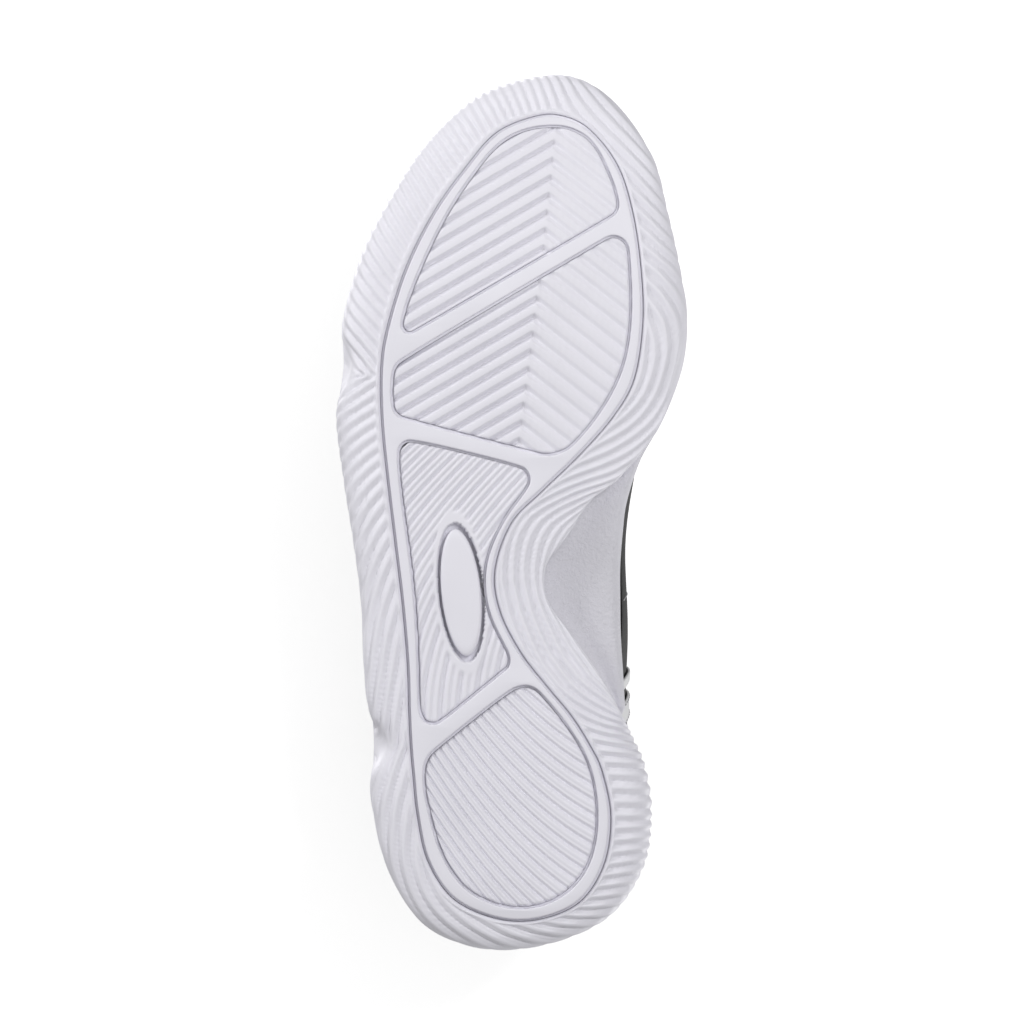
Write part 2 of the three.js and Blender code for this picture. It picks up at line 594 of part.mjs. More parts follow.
function tongueSheet(layer, firstRow, lastRow, trim) {
  const rows = around(TONGUE_ROWS + EXTRA_ROWS, (i) => {
    const body = Math.min(i, TONGUE_ROWS - 1) / (TONGUE_ROWS - 1);
    const beyond = Math.max(0, i - TONGUE_ROWS + 1) / EXTRA_ROWS;
    return layer.map((distance) => tongueRow(
      mix(TONGUE_FOOT_RIB, TONGUE_TOP_RIB, body), beyond * TONGUE_LENGTH, distance)
      .slice(trim, 9 - trim));
  }).slice(firstRow, lastRow);
  const rings = rows.map(([inner, outer]) => [...inner, ...outer.reverse()]);
  return outward(stripLoft(rings));
}
// Loft of flat loops whose ends are closed by joining the two long sides.
function stripLoft(rings) {
  const out = [];
  const quad = (a, b, c, d) => [a, b, c, a, c, d].forEach((v) => out.push(v.x, v.y, v.z));
  const size = rings[0].length;
  for (let i = 0; i < rings.length - 1; i += 1) {
    for (let k = 0; k < size; k += 1) {
      const n = (k + 1) % size;
      quad(rings[i][k], rings[i + 1][k], rings[i + 1][n], rings[i][n]);
    }
  }
  const half = size / 2;
  for (const [ring, turned] of [[rings[0], false], [rings[rings.length - 1], true]]) {
    for (let k = 0; k < half - 1; k += 1) {
      const loopOf = [ring[k], ring[k + 1], ring[size - 2 - k], ring[size - 1 - k]];
      quad(...(turned ? loopOf.reverse() : loopOf));
    }
  }
  return geometryOf(out);
}
add('tongue', tongueSheet(TONGUE, 0, TONGUE_ROWS + EXTRA_ROWS, 0), textile);
add('tongue_padding', tongueSheet(TONGUE_FOAM, 3, TONGUE_ROWS + EXTRA_ROWS, 1), textile);
add('tongue_loop', tongueSheet([TONGUE[1] + FIT, TONGUE[1] + FIT + 1.2], 7, 9, 3), leather);

// ---- Heel pull tab: a loop of webbing that folds back on its lower end ----
const TAB_REST = 0.86;         // where on the heel rib the loop's foot lies
const tabSeat = onLast(0, TAB_REST);
const tabFoot = new THREE.Vector3(0, tabSeat.y + PADDING[1] + 1.2 + TAB_DEPTH / 2, tabSeat.z);
function stadium(radius, length) {
  const shape = new THREE.Shape();
  shape.absarc(0, 0, radius, Math.PI, 2 * Math.PI);
  shape.absarc(0, length, radius, 0, Math.PI);
  return shape;
}
const tabLength = TAB_HEIGHT - TAB_DEPTH;
const tabShape = stadium(TAB_DEPTH / 2, tabLength);
tabShape.holes.push(stadium(TAB_DEPTH / 2 - TAB_WEB, tabLength));
add('pull_tab', new THREE.ExtrudeGeometry(tabShape,
  { depth: TAB_WIDTH, bevelEnabled: false, curveSegments: 8 })
  .translate(0, 0, -TAB_WIDTH / 2)
  .applyMatrix4(new THREE.Matrix4().makeBasis(new THREE.Vector3(0, 1, 0),
    new THREE.Vector3(0, 0, 1), new THREE.Vector3(1, 0, 0)))
  .translate(...tabFoot), textile);

// The origin lies on the ground under the middle of the shoe's box.
const box = new THREE.Box3().setFromObject(shoe);
shoe.position.set(-(box.min.x + box.max.x) / 2, -(box.min.y + box.max.y) / 2, 0);

export default shoe;
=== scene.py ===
import math

import bmesh
import bpy
import numpy as np
from mathutils import Matrix, Vector


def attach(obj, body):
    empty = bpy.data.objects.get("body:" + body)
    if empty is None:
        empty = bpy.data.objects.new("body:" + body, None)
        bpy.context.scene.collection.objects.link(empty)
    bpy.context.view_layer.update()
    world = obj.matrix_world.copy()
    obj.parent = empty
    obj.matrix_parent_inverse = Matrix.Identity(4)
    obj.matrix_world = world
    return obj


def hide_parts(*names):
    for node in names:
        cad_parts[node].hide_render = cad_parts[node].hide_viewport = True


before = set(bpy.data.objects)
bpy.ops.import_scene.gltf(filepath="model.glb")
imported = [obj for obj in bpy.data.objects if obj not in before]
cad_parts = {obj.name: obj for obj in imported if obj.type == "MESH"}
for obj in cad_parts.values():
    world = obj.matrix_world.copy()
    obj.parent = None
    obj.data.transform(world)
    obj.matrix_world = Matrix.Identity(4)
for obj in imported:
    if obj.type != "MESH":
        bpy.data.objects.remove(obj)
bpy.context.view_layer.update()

MM = 0.001

# ---- Camera: straight below the sole, toe at the top of the picture ----
LENS = 250
VIEW_WIDTH = 0.3372
SENSOR = 36
camera_data = bpy.data.cameras.new("sole_view")
camera_data.lens = LENS
camera_data.sensor_width = SENSOR
camera = bpy.data.objects.new("sole_view", camera_data)
camera.location = (0, 0, -VIEW_WIDTH * LENS / SENSOR)
camera.rotation_euler = (math.pi, 0, 0)
bpy.context.scene.collection.objects.link(camera)
bpy.context.scene.camera = camera


# ---- Studio: pale floor under the shoe and a pale backdrop over it ----
# Each is a one-sided sheet, seen from its own side only, so the sole shows through the
# floor from below and the upper shows through the backdrop from above.
FLOOR_HEIGHT = -0.0004
BACKDROP_HEIGHT = 0.124
BACKDROP_GLOW = 0.47
WORLD_GLOW = 0.46


def make_object(name, bm):
    mesh = bpy.data.meshes.new(name)
    bm.to_mesh(mesh)
    bm.free()
    made = bpy.data.objects.new(name, mesh)
    bpy.context.scene.collection.objects.link(made)
    return made


def set_inputs(node, values):
    for key, value in values.items():
        node.inputs[key].default_value = value


def add_node(material, kind, values=()):
    node = material.node_tree.nodes.new("ShaderNode" + kind)
    set_inputs(node, dict(values))
    return node


def new_material(name):
    material = bpy.data.materials.new(name)
    material.use_nodes = True
    return material, material.node_tree.links.new


def paint_of(material):
    return material.node_tree.nodes["Principled BSDF"]


def studio_sheet(name, height, faces_up, colour):
    bm = bmesh.new()
    bmesh.ops.create_grid(bm, x_segments=1, y_segments=1, size=4.0)
    if not faces_up:
        bmesh.ops.reverse_faces(bm, faces=bm.faces)
    bmesh.ops.translate(bm, verts=bm.verts, vec=(0, 0, height))
    sheet = make_object(name, bm)
    material, link = new_material(name)
    paint = paint_of(material)
    set_inputs(paint, {"Base Color": (*colour, 1), "Roughness": 0.9,
                       "Emission Color": (1, 1, 1, 1),
                       "Emission Strength": 0 if faces_up else BACKDROP_GLOW})
    clear = add_node(material, "BsdfTransparent")
    side = add_node(material, "NewGeometry")
    path = add_node(material, "LightPath")
    seen = add_node(material, "Math")
    seen.operation = "SUBTRACT"
    seen.use_clamp = True
    link(path.outputs["Is Camera Ray"], seen.inputs[0])
    link(side.outputs["Backfacing"], seen.inputs[1])
    mix = add_node(material, "MixShader")
    link(seen.outputs[0], mix.inputs[0])
    link(clear.outputs[0], mix.inputs[1])
    link(paint.outputs[0], mix.inputs[2])
    link(mix.outputs[0], material.node_tree.nodes["Material Output"].inputs["Surface"])
    sheet.data.materials.append(material)


studio_sheet("floor", FLOOR_HEIGHT, True, (0.86, 0.86, 0.88))
studio_sheet("backdrop", BACKDROP_HEIGHT, False, (0.97, 0.97, 0.97))

world = bpy.data.worlds.new("studio")
world.use_nodes = True
set_inputs(world.node_tree.nodes["Background"], {"Color": (1, 1, 1, 1), "Strength": WORLD_GLOW})
bpy.context.scene.world = world
bpy.context.scene.view_settings.view_transform = "Standard"


def soft_box(name, place, size, power):
    data = bpy.data.lights.new(name, "AREA")
    data.size = size
    data.energy = power
    lamp = bpy.data.objects.new(name, data)
    lamp.location = place
    lamp.rotation_euler = Vector(place).to_track_quat("Z", "Y").to_euler()
    bpy.context.scene.collection.objects.link(lamp)


soft_box("relief_below", (-0.85, -0.62, -0.46), 0.4, 5.0)
soft_box("key_below", (0.4, -0.3, -1.1), 0.3, 5.2)
soft_box("key_above", (-0.7, -0.9, 1.3), 0.6, 18)
soft_box("fill_above", (1.0, 0.7, 1.0), 0.9, 9)

# ---- Sole frame: smooth moulded rubber band and three bars round four windows ----
# One piece with the outsole on the real shoe; its flat face carries the weight.
# Plan sizes are in millimetres until each mesh is scaled to metres at the end.
TREAD_DEPTH = 6.2
SOLE_TOP = 26.0
BALL_SHARE = 0.82
TOE_SHARE = 0.70
TOE_SPRING = 14.0
TOE_BREAK = -62
HEEL_SPRING = 3.0
HEEL_BREAK = 118
HALF_LENGTH = 145.0
CENTRE_X = -0.26
CENTRE_Y = 0.05
STATIONS = [
    ((8, -131), (9, -145)), ((-5, -125.4), (-11.5, -138.3)), ((-15.7, -113.1), (-27, -124.5)),
    ((-25.6, -99), (-38, -108.5)), ((-34.7, -80.8), (-48.8, -87.5)), ((-40.9, -61), (-55.9, -62)),
    ((-43, -47.7), (-53.3, -48.5), (-56.3, -48.5)), ((-42.8, -30.4), (-57.8, -33)),
    ((-40.8, -10), (-55.4, -10.4)), ((-38.4, 10), (-52.2, 10)), ((-36, 30), (-49.7, 30)),
    ((-34.3, 50), (-48.8, 51)), ((-33.8, 66), (-47, 66)),
    ((-33.3, 76.5), (-41.6, 76.5), (-46.3, 76.5)), ((-32.4, 87), (-46.5, 87.5)),
    ((-31, 100), (-45.4, 101)), ((-27.5, 115), (-40.5, 119)), ((-19, 127.5), (-29, 136.5)),
    ((-5, 134), (-9.9, 144.6)), ((9, 134.3), (12, 143.2)), ((22.5, 128.5), (32.2, 134.1)),
    ((30.6, 115.9), (43.8, 117.6)), ((32.8, 100), (46.6, 99)), ((29.8, 84.9), (44.2, 83.5)),
    ((25.6, 76.2), (40, 74)), ((20, 67.3), (35.8, 65.5), (38.2, 66)),
    ((12, 57.6), (29, 53.5), (37.4, 54)), ((3.3, 46.4), (20, 40.6), (36.6, 41)),
    ((-3.7, 32.6), (12, 29), (36.4, 29)), ((-5.4, 19), (11.5, 18), (36.4, 18)),
    ((0, 3.5), (18.5, 8), (37.2, 7)), ((10.3, -7.1), (26, -3.5), (38.6, -3.5)),
    ((22.6, -19), (36.4, -12), (43, -17)), ((33.7, -31.7), (48.8, -28), (50, -30)),
    ((40.5, -44), (56.5, -47.5)), ((43.3, -62), (58.2, -64)), ((42.8, -80), (55.8, -81)),
    ((40.1, -99), (51.8, -99.5)), ((35.1, -114.7), (47, -117.5)), ((26, -126.5), (36, -134.3)),
    ((17, -131.1), (23.5, -143.7)),
]
COUNT = len(STATIONS)


def unit(vectors):
    return vectors / np.maximum(np.linalg.norm(vectors, axis=1), 1e-9)[:, None]


def smooth_between(a, b, c, d, t):
    """A smooth run from b (t = 0) to c (t = 1), steered by the neighbours a and d."""
    return 0.5 * (2 * b + (c - a) * t + (2 * a - 5 * b + 4 * c - d) * t ** 2
                  + (3 * b - a - 3 * c + d) * t ** 3)


def smoothstep(x, low, high):
    t = np.clip((np.asarray(x, dtype=float) - low) / (high - low), 0, 1)
    return t * t * (3 - 2 * t)


def catmull(points, u, closed):
    """Points of a smooth curve through the given ones; u counts control points."""
    points = np.asarray(points, dtype=float)
    n = len(points)
    u = np.atleast_1d(np.asarray(u, dtype=float))
    first = np.floor(u).astype(int)
    if not closed:
        first = np.clip(first, 0, n - 2)
        points = np.vstack([2 * points[0] - points[1], points, 2 * points[-1] - points[-2]])
        picks = [points[first + k] for k in range(4)]
    else:
        picks = [points[(first + k - 1) % n] for k in range(4)]
    return smooth_between(*picks, (u - first)[:, None])


NEAR = 0.02              # a short way along a curve, for its direction


def sole_line(which, u, inset=0.0):
    """The frame's edge (0), the widest line (1) or the lip line (2), moved inwards."""
    line = [station[min(which, len(station) - 1)] for station in STATIONS]
    along = unit(catmull(line, u + NEAR, True) - catmull(line, u - NEAR, True))
    return catmull(line, u, True) + np.stack([along[:, 1], -along[:, 0]], axis=1) * inset


def sole_height(y):
    """The sole's height at a place along it, as a share of its height at the heel."""
    ball = 1 + (BALL_SHARE - 1) * smoothstep(-y, -60, 60)
    return ball + (TOE_SHARE - ball) * smoothstep(-y, 60, HALF_LENGTH)


def lift(y):
    """How far the tread curves up off the ground, at the toe and at the back of the heel."""
    toe = np.maximum(0, TOE_BREAK - y) / (HALF_LENGTH + TOE_BREAK)
    heel = np.maximum(0, y - HEEL_BREAK) / (HALF_LENGTH - HEEL_BREAK)
    return TOE_SPRING * toe ** 1.8 + HEEL_SPRING * heel ** 2


def settle(bm):
    """Bends a flat-built sole piece, moves it to the shoe's middle and scales it to metres."""
    co = np.array([v.co[:] for v in bm.verts])
    z = co[:, 2] * sole_height(co[:, 1]) + lift(co[:, 1])
    for v, x, y, height in zip(bm.verts, co[:, 0], co[:, 1], z):
        v.co = ((x + CENTRE_X) * MM, (y + CENTRE_Y) * MM, height * MM)


def flat_grid(columns, rows):
    """A flat grid to be bent into a piece, and the place (0 to 1) of each of its points."""
    bm = bmesh.new()
    bmesh.ops.create_grid(bm, x_segments=columns, y_segments=rows, size=0.5)
    return bm, np.array([v.co[:2] for v in bm.verts]) + 0.5


def set_points(verts, points):
    for v, co in zip(verts, points):
        v.co = co


def new_verts(result):
    return [v for v in result["geom"] if isinstance(v, bmesh.types.BMVert)]


def merge(bm, distance):
    bmesh.ops.remove_doubles(bm, verts=bm.verts, dist=distance)


def face_outwards(bm):
    bmesh.ops.recalc_face_normals(bm, faces=bm.faces)


def fill_holes(bm):
    bmesh.ops.holes_fill(bm, edges=[e for e in bm.edges if e.is_boundary], sides=0)


def shoe_piece(name, bm, material, body="shoe", crease=None):
    """Makes a smooth object of a bmesh, riding on a body, with creases past an angle."""
    piece = make_object(name, bm)
    mesh = piece.data
    mesh.polygons.foreach_set("use_smooth", [True] * len(mesh.polygons))
    if crease:
        mesh.set_sharp_from_angle(angle=math.radians(crease))
    mesh.materials.append(material)
    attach(piece, body)
    return piece


def add_tint(material, factor, stops):
    """Colours a material between two tones, each given with its place on the ramp."""
    tint = add_node(material, "ValToRGB")
    for stop, (place, colour) in zip(tint.color_ramp.elements, stops):
        stop.position = place
        stop.color = (*colour, 1)
    link = material.node_tree.links.new
    link(factor, tint.inputs["Fac"])
    link(tint.outputs["Color"], paint_of(material).inputs["Base Color"])


def add_bump(material, height, strength, depth):
    bump = add_node(material, "Bump", {"Strength": strength, "Distance": depth})
    link = material.node_tree.links.new
    link(height, bump.inputs["Height"])
    link(bump.outputs["Normal"], paint_of(material).inputs["Normal"])
    return bump


def moulded_rubber(name, colour, shade, roughness, grain, depth):
    """Moulded rubber or foam: faint cloudiness, a fine spark-etched grain."""
    material, link = new_material(name)
    place = add_node(material, "TexCoord").outputs["Object"]
    cloud = add_node(material, "TexNoise", {"Scale": 45, "Detail": 4})
    link(place, cloud.inputs["Vector"])
    add_tint(material, cloud.outputs["Fac"], ((0.3, shade), (0.7, colour)))
    etch = add_node(material, "TexNoise", {"Scale": grain, "Detail": 3, "Roughness": 0.65})
    link(place, etch.inputs["Vector"])
    add_bump(material, etch.outputs["Fac"], 0.5, depth)
    gloss = add_node(material, "MapRange", {"To Min": roughness - 0.06, "To Max": roughness + 0.08})
    link(cloud.outputs["Fac"], gloss.inputs["Value"])
    link(gloss.outputs["Result"], paint_of(material).inputs["Roughness"])
    return material


def rounded(points, rounds=3):
    """Cuts the corners of a closed outline again and again until it runs smoothly."""
    line = np.asarray(points, dtype=float)
    for _ in range(rounds):
        ahead = np.roll(line, -1, axis=0)
        line = np.stack([0.75 * line + 0.25 * ahead, 0.25 * line + 0.75 * ahead],
                        axis=1).reshape(-1, 2)
    return line


WINDOWS = {
    "toe": rounded([
        (12.4, -127.4), (5.8, -126.5), (0, -124.2), (-5, -120.5), (-10, -114.7), (-19.8, -100.6),
        (-27.3, -85.7), (-33.1, -71.7), (-35.8, -62.6), (-35.3, -60), (-33.5, -59.2),
        (-31.4, -60.2), (32.2, -97.3), (34.5, -99.2), (35.1, -101.9), (33.9, -107.3),
        (29.8, -117.2), (26.5, -122.2), (23.1, -125), (18.2, -127.1)]),
    "ball": rounded([
        (29.8, -89.1), (33.1, -90.8), (36.2, -90.1), (38.1, -87.9), (38.6, -84.1), (39.4, -67.6),
        (38, -52.7), (33.9, -41.1), (26.5, -29.6), (19.5, -21.8), (16.1, -20), (11.6, -19.1),
        (7.5, -19.9), (-35.1, -31.1), (-37.8, -32.6), (-38.8, -35.6), (-39, -40),
        (-38.8, -44.3), (-38, -47.9), (-35.5, -50.3)]),
    "midfoot": rounded([
        (-37, -19.5), (-35.7, -22.6), (-32.2, -23.5), (2.9, -15), (5.2, -13), (5.8, -10.4),
        (4.5, -7.5), (-2.5, 1.6), (-7.9, 12.7), (-9.5, 22.6), (-7.9, 33.4), (-3.3, 42.9),
        (-1, 47), (-1, 50.4), (-2.9, 52.1), (-23.1, 68.5), (-25.4, 69.5), (-28.3, 68.7),
        (-29.5, 66.4), (-30, 63.9), (-30.6, 40), (-32.2, 20), (-35.1, 0), (-36.3, -10)]),
    "heel": rounded([
        (-0.8, 59.3), (3.7, 57.5), (6.8, 57.9), (9.7, 60), (18.2, 70.3), (24.9, 81.2),
        (27.9, 92.8), (28.1, 106), (25, 117.4), (17.6, 126.1), (6.6, 130.5), (-5, 129.4),
        (-15.9, 123.6), (-23.3, 111.8), (-27.5, 95.3), (-28.4, 89.5), (-28.4, 84.6),
        (-27.3, 81), (-24.8, 78.3)]),
}
sole_white = moulded_rubber("sole_white", (0.80, 0.79, 0.85), (0.77, 0.76, 0.82), 0.5,
                            2600, 0.00006)

FRAME_BEVEL = 0.5
GROOVE_WIDTH = 0.75
GROOVE_FLOOR = 2.5
edge_steps = np.arange(0, COUNT, 0.125)


def slice_across(bm, spacing):
    """Cuts a piece across at even steps along the shoe, so that it can follow a bend."""
    for cut in np.arange(-HALF_LENGTH, HALF_LENGTH, spacing):
        bmesh.ops.bisect_plane(bm, geom=bm.verts[:] + bm.edges[:] + bm.faces[:], dist=0.001,
                               plane_co=(0, cut, 0), plane_no=(0, 1, 0))


def frame_slab(bm, back, bevel, low):
    """The frame's plan as a slab up to the tread depth, its edges moved back and rounded."""
    curve = bpy.data.curves.new("frame_slab", "CURVE")
    curve.dimensions = "2D"
    curve.fill_mode = "BOTH"
    loops = [sole_line(0, edge_steps, bevel + 0.05 + back)]
    for window in WINDOWS.values():
        ahead = unit(np.roll(window, -2, axis=0) - np.roll(window, 2, axis=0))
        area = np.sum(window[:, 0] * np.roll(window[:, 1], -1)
                      - window[:, 1] * np.roll(window[:, 0], -1))
        side = np.stack([ahead[:, 1], -ahead[:, 0]], axis=1) * np.sign(area)
        loops.append(window + side * (bevel + back))
    for points in loops:
        spline = curve.splines.new("POLY")
        spline.points.add(len(points) - 1)
        spline.points.foreach_set("co", [c for x, y in points for c in (x, y, 0, 1)])
        spline.use_cyclic_u = True
    curve.extrude = (TREAD_DEPTH - low) / 2 - bevel
    curve.bevel_depth = bevel
    curve.bevel_resolution = 3
    shape = bpy.data.objects.new("frame_slab", curve)
    bpy.context.scene.collection.objects.link(shape)
    slab = bmesh.new()
    slab.from_mesh(shape.evaluated_get(bpy.context.evaluated_depsgraph_get()).to_mesh())
    bpy.data.objects.remove(shape)
    merge(slab, 0.001)
    bmesh.ops.translate(slab, verts=slab.verts, vec=(0, 0, (TREAD_DEPTH + low) / 2))
    slice_across(slab, 4)
    face_outwards(slab)
    settle(slab)
    made = bpy.data.meshes.new("frame_slab")
    slab.to_mesh(made)
    slab.free()
    bm.from_mesh(made)
    bpy.data.meshes.remove(made)


bm = bmesh.new()
frame_slab(bm, GROOVE_WIDTH, FRAME_BEVEL, 0)
frame_slab(bm, 0, 0.0, GROOVE_FLOOR)
sole_frame = shoe_piece("sole_frame_moulded", bm, sole_white, crease=50)
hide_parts("sole_frame")

# ---- Tread pads: ribbed rubber filling the windows, a hair above the frame's face ----
# Each is cut from a sheet of cells that run along its ribs, so every groove stays crisp.
PAD_GAP = 0.12
PAD_RECESS = 0.7
PAD_EDGE = 0.8


def outline_distance(points, outline):
    """How far inside an outline each point lies, and the outline's nearest point."""
    best = np.full(len(points), 1e9)
    nearest = np.zeros((len(points), 2))
    inside = np.zeros(len(points), dtype=bool)
    for a, b in zip(outline, np.roll(outline, -1, axis=0)):
        step = b - a
        share = np.clip(((points - a) @ step) / max(step @ step, 1e-12), 0, 1)
        foot = a + share[:, None] * step
        gap = np.linalg.norm(points - foot, axis=1)
        closer = gap < best
        best[closer] = gap[closer]
        nearest[closer] = foot[closer]
        crosses = (a[1] > points[:, 1]) != (b[1] > points[:, 1])
        at = a[0] + (points[:, 1] - a[1]) * step[0] / (step[1] if step[1] else 1e-12)
        inside ^= crosses & (points[:, 0] < at)
    return np.where(inside, best, -best), nearest


def tread_pad(place, cells, place_cell, relief):
    """A pad: cells (columns, rows) placed on the plan, then given their relief."""
    window = WINDOWS[place]
    bm, grid = flat_grid(*cells)
    points = place_cell(grid[:, 0] * cells[0], grid[:, 1] * cells[1])
    depth, _ = outline_distance(points, window)
    for v, (x, y), d in zip(bm.verts, points, depth):
        v.co = (x, y, 0)
        v.tag = bool(d > PAD_GAP)
    bmesh.ops.delete(bm, geom=[f for f in bm.faces if not any(v.tag for v in f.verts)],
                     context="FACES")
    bmesh.ops.delete(bm, geom=[v for v in bm.verts if not v.link_faces], context="VERTS")
    points = np.array([v.co[:2] for v in bm.verts])
    depth, nearest = outline_distance(points, window)
    depth -= PAD_GAP
    inward = points - nearest
    length = np.linalg.norm(inward, axis=1)[:, None]
    inward = np.where((depth + PAD_GAP > 0)[:, None], inward, -inward) / np.maximum(length, 1e-6)
    trimmed = np.where((depth < 0)[:, None], nearest + inward * PAD_GAP, points)
    edge = np.clip(PAD_EDGE - np.maximum(depth, 0), 0, PAD_EDGE)
    round_off = PAD_EDGE - np.sqrt(PAD_EDGE ** 2 - edge ** 2)
    height = PAD_RECESS + relief(trimmed) + round_off
    set_points(bm.verts, np.column_stack([trimmed, height]))
    rim = [e for e in bm.edges if e.is_boundary]
    for v in new_verts(bmesh.ops.extrude_edge_only(bm, edges=rim)):
        v.co.z = TREAD_DEPTH
    fill_holes(bm)
    face_outwards(bm)
    settle(bm)
    pad = shoe_piece("tread_" + place, bm, sole_white)
    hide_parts("tread_pad_" + place)


def groove(phase, pitch, half_width):
    """1 at the middle of a groove, 0 on the ribs between."""
    gap = np.abs(phase - np.round(phase)) * pitch
    return np.clip(1 - gap / half_width, 0, 1)


# Chevrons: arms run down to the outer side and down to the inner side from a row of
# points; the outer arms are deep and narrow, the inner ones broad and shallow.
ARM_OUT = np.array([-0.862, 0.507])
ARM_IN = np.array([0.788, 0.616])
CELLS_PER_RIB = 12


def chevron_pad(place, first_point, step):
    basis = np.linalg.inv(np.column_stack([ARM_OUT, ARM_IN]))
    share = basis @ np.array(step)
    corners = (WINDOWS[place] - first_point) @ basis.T / share
    low = np.floor(corners.min(axis=0)) - 1
    high = np.ceil(corners.max(axis=0)) + 1
    cells = ((high - low) * CELLS_PER_RIB).astype(int)

    def place_cell(i, j):
        ribs = np.column_stack([i, j]) / CELLS_PER_RIB + low
        return np.array(first_point) + (ribs * share) @ np.vstack([ARM_OUT, ARM_IN])

    def relief(points):
        ribs = (points - first_point) @ basis.T / share
        outer = ribs[:, 0] > ribs[:, 1]
        phase = ribs.min(axis=1)
        cross = np.where(outer, ribs[:, 0] - phase, ribs[:, 1] - phase)
        deep = 2.1 * groove(phase, 4.7, 1.15) ** 0.8 + 0.3 * groove(phase, 4.7, 2.2)
        near = np.clip(1 - cross / 1.1, 0, 1)
        broad = (0.95 + 1.0 * near) * groove(phase, 5.0, 1.35) ** 0.8
        knurl = 0.16 * np.sin(cross * 2 * math.pi * 7) * (1 - groove(phase, 5.0, 1.5))
        return np.where(outer, deep, broad + knurl)

    tread_pad(place, cells, place_cell, relief)


chevron_pad("toe", (14, -121.8), (-0.6, 5.84))
chevron_pad("ball", (8.2, -70), (-0.73, 5.83))

# Midfoot: fine ribs that run down to the outer side and straighten towards the heel.
RIB = 2.9


def midfoot_bow(y):
    return 1.05 * (y + 20) - 0.00594 * (y + 20) ** 2


def midfoot_cell(i, j):
    y = -26 + j * 0.45
    return np.column_stack([-37 + i * RIB / 6 - midfoot_bow(y), y])


def fine_ribs(points):
    phase = (points[:, 0] + midfoot_bow(points[:, 1])) / RIB
    thick = groove(phase / 2, 2 * RIB * 0.8, 0.95)
    thin = groove(phase / 2 + 0.5, 2 * RIB * 0.8, 0.6)
    return 1.35 * thick + 0.65 * thin


BADGE_PLACE = (-16.5, 26.5)
BADGE_SIZE = (14, 43)
BADGE_TURN = -0.1


def badge_distance(points):
    x, y = (points - BADGE_PLACE).T
    c, s = math.cos(BADGE_TURN), math.sin(BADGE_TURN)
    across, along = x * c + y * s, y * c - x * s
    ratio = np.hypot(across / (BADGE_SIZE[0] / 2), along / (BADGE_SIZE[1] / 2))
    return (ratio - 1) * BADGE_SIZE[0] / 2


def midfoot_relief(points):
    beside = badge_distance(points)
    return np.where(beside < 0.5, 4.2, fine_ribs(points) * np.clip((beside - 1.6) / 0.6, 0, 1))


tread_pad("midfoot", (196, 230), midfoot_cell, midfoot_relief)

# Heel: bowed ribs in pairs, a deep groove and a fine one.
PAIR = 4.9


def heel_bow(x):
    return 1.05 * x - 0.0095 * x * x


def heel_cell(i, j):
    x = -30 + i * 0.42
    return np.column_stack([x, 25 + j * PAIR / 12 + heel_bow(x)])


def heel_relief(points):
    phase = (points[:, 1] - heel_bow(points[:, 0])) / PAIR
    return (1.15 * groove(phase, PAIR, 1.1) + 0.25 * groove(phase + 0.42, PAIR, 0.6)
            + 0.15 * groove(phase, PAIR, 2.2))


tread_pad("heel", (142, 340), heel_cell, heel_relief)

# The blank badge in the midfoot: a long oval pad, flat on top, moulded with the outsole.
BADGE_RINGS = [(0.0, 0.5), (0.3, 0.5), (0.6, 0.5), (0.82, 0.5), (0.87, 0.52), (0.92, 0.6),
               (0.96, 0.8), (0.985, 1.1), (1.0, 1.7), (1.0, TREAD_DEPTH - 1.6)]
bm, grid = flat_grid(96, len(BADGE_RINGS) - 1)
for v, (turn, ring) in zip(bm.verts, grid):
    angle = turn * 2 * math.pi
    share, height = BADGE_RINGS[round(ring * (len(BADGE_RINGS) - 1))]
    v.co = (share * math.cos(angle) * (BADGE_SIZE[0] / 2 - 0.5),
            share * math.sin(angle) * (BADGE_SIZE[1] / 2 - 0.5), height)
merge(bm, 0.001)
fill_holes(bm)
bmesh.ops.rotate(bm, verts=bm.verts, matrix=Matrix.Rotation(BADGE_TURN, 3, "Z"))
bmesh.ops.translate(bm, verts=bm.verts, vec=(*BADGE_PLACE, 0))
face_outwards(bm)
settle(bm)
badge = shoe_piece("badge_blank", bm, sole_white)
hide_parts("midfoot_badge")

# ---- Outsole cup: fluted rubber from the frame's edge up the side to its lip ----
# The flutes sweep out from the frame, run along the edge at the neck of the arch, and
# stand nearly square to it at the inner heel. Columns go round the sole, rows up it.
LIP_TOP = SOLE_TOP + 3.0
ARCH = (24.8, 33.2)
# Station, flute angle (degrees, 90 runs along the edge) and pitch. Two notches kink it.
FLUTES = np.array([
    (0, 150, 3.3), (1, 178, 3.3), (2, 195, 3.3), (3, 209, 3.3), (4, 217, 3.3), (5, 227, 3.2),
    (6.1, 236, 3.0), (6.3, 316, 3.0), (7, 318, 3.2), (8, 313, 3.3), (9, 301, 3.2),
    (10, 290, 3.1), (11, 281, 3.0), (12.9, 275, 3.0), (13.2, 292, 3.2), (15, 284, 3.4),
    (17, 276, 3.4), (18.5, 284, 3.4), (19.5, 300, 3.7), (20.5, 326, 4.1), (21.2, 345, 4.4),
    (22, 368, 4.6), (23, 371, 4.6), (24, 392, 4.3), (25, 424, 3.6), (26, 450, 3.1),
    (27, 457, 3.0), (28, 453, 3.0), (29.3, 441, 3.0), (30.2, 452, 3.0), (31, 470, 3.2),
    (32, 475, 3.3), (33, 466, 3.4), (34, 450, 3.4),
    (35, 424, 3.6), (36, 408, 3.6), (37, 418, 3.6), (38, 434, 3.4), (39, 453, 3.3),
    (40, 480, 3.3), (41, 510, 3.3)])
NOTCHES = (6.2, 13.05)
FLUTE_DEPTH = 1.45
SHELL_COLUMNS = 1440
FACE_ROWS = 38
WALL_ROWS = 16
INSIDE_ROWS = 6


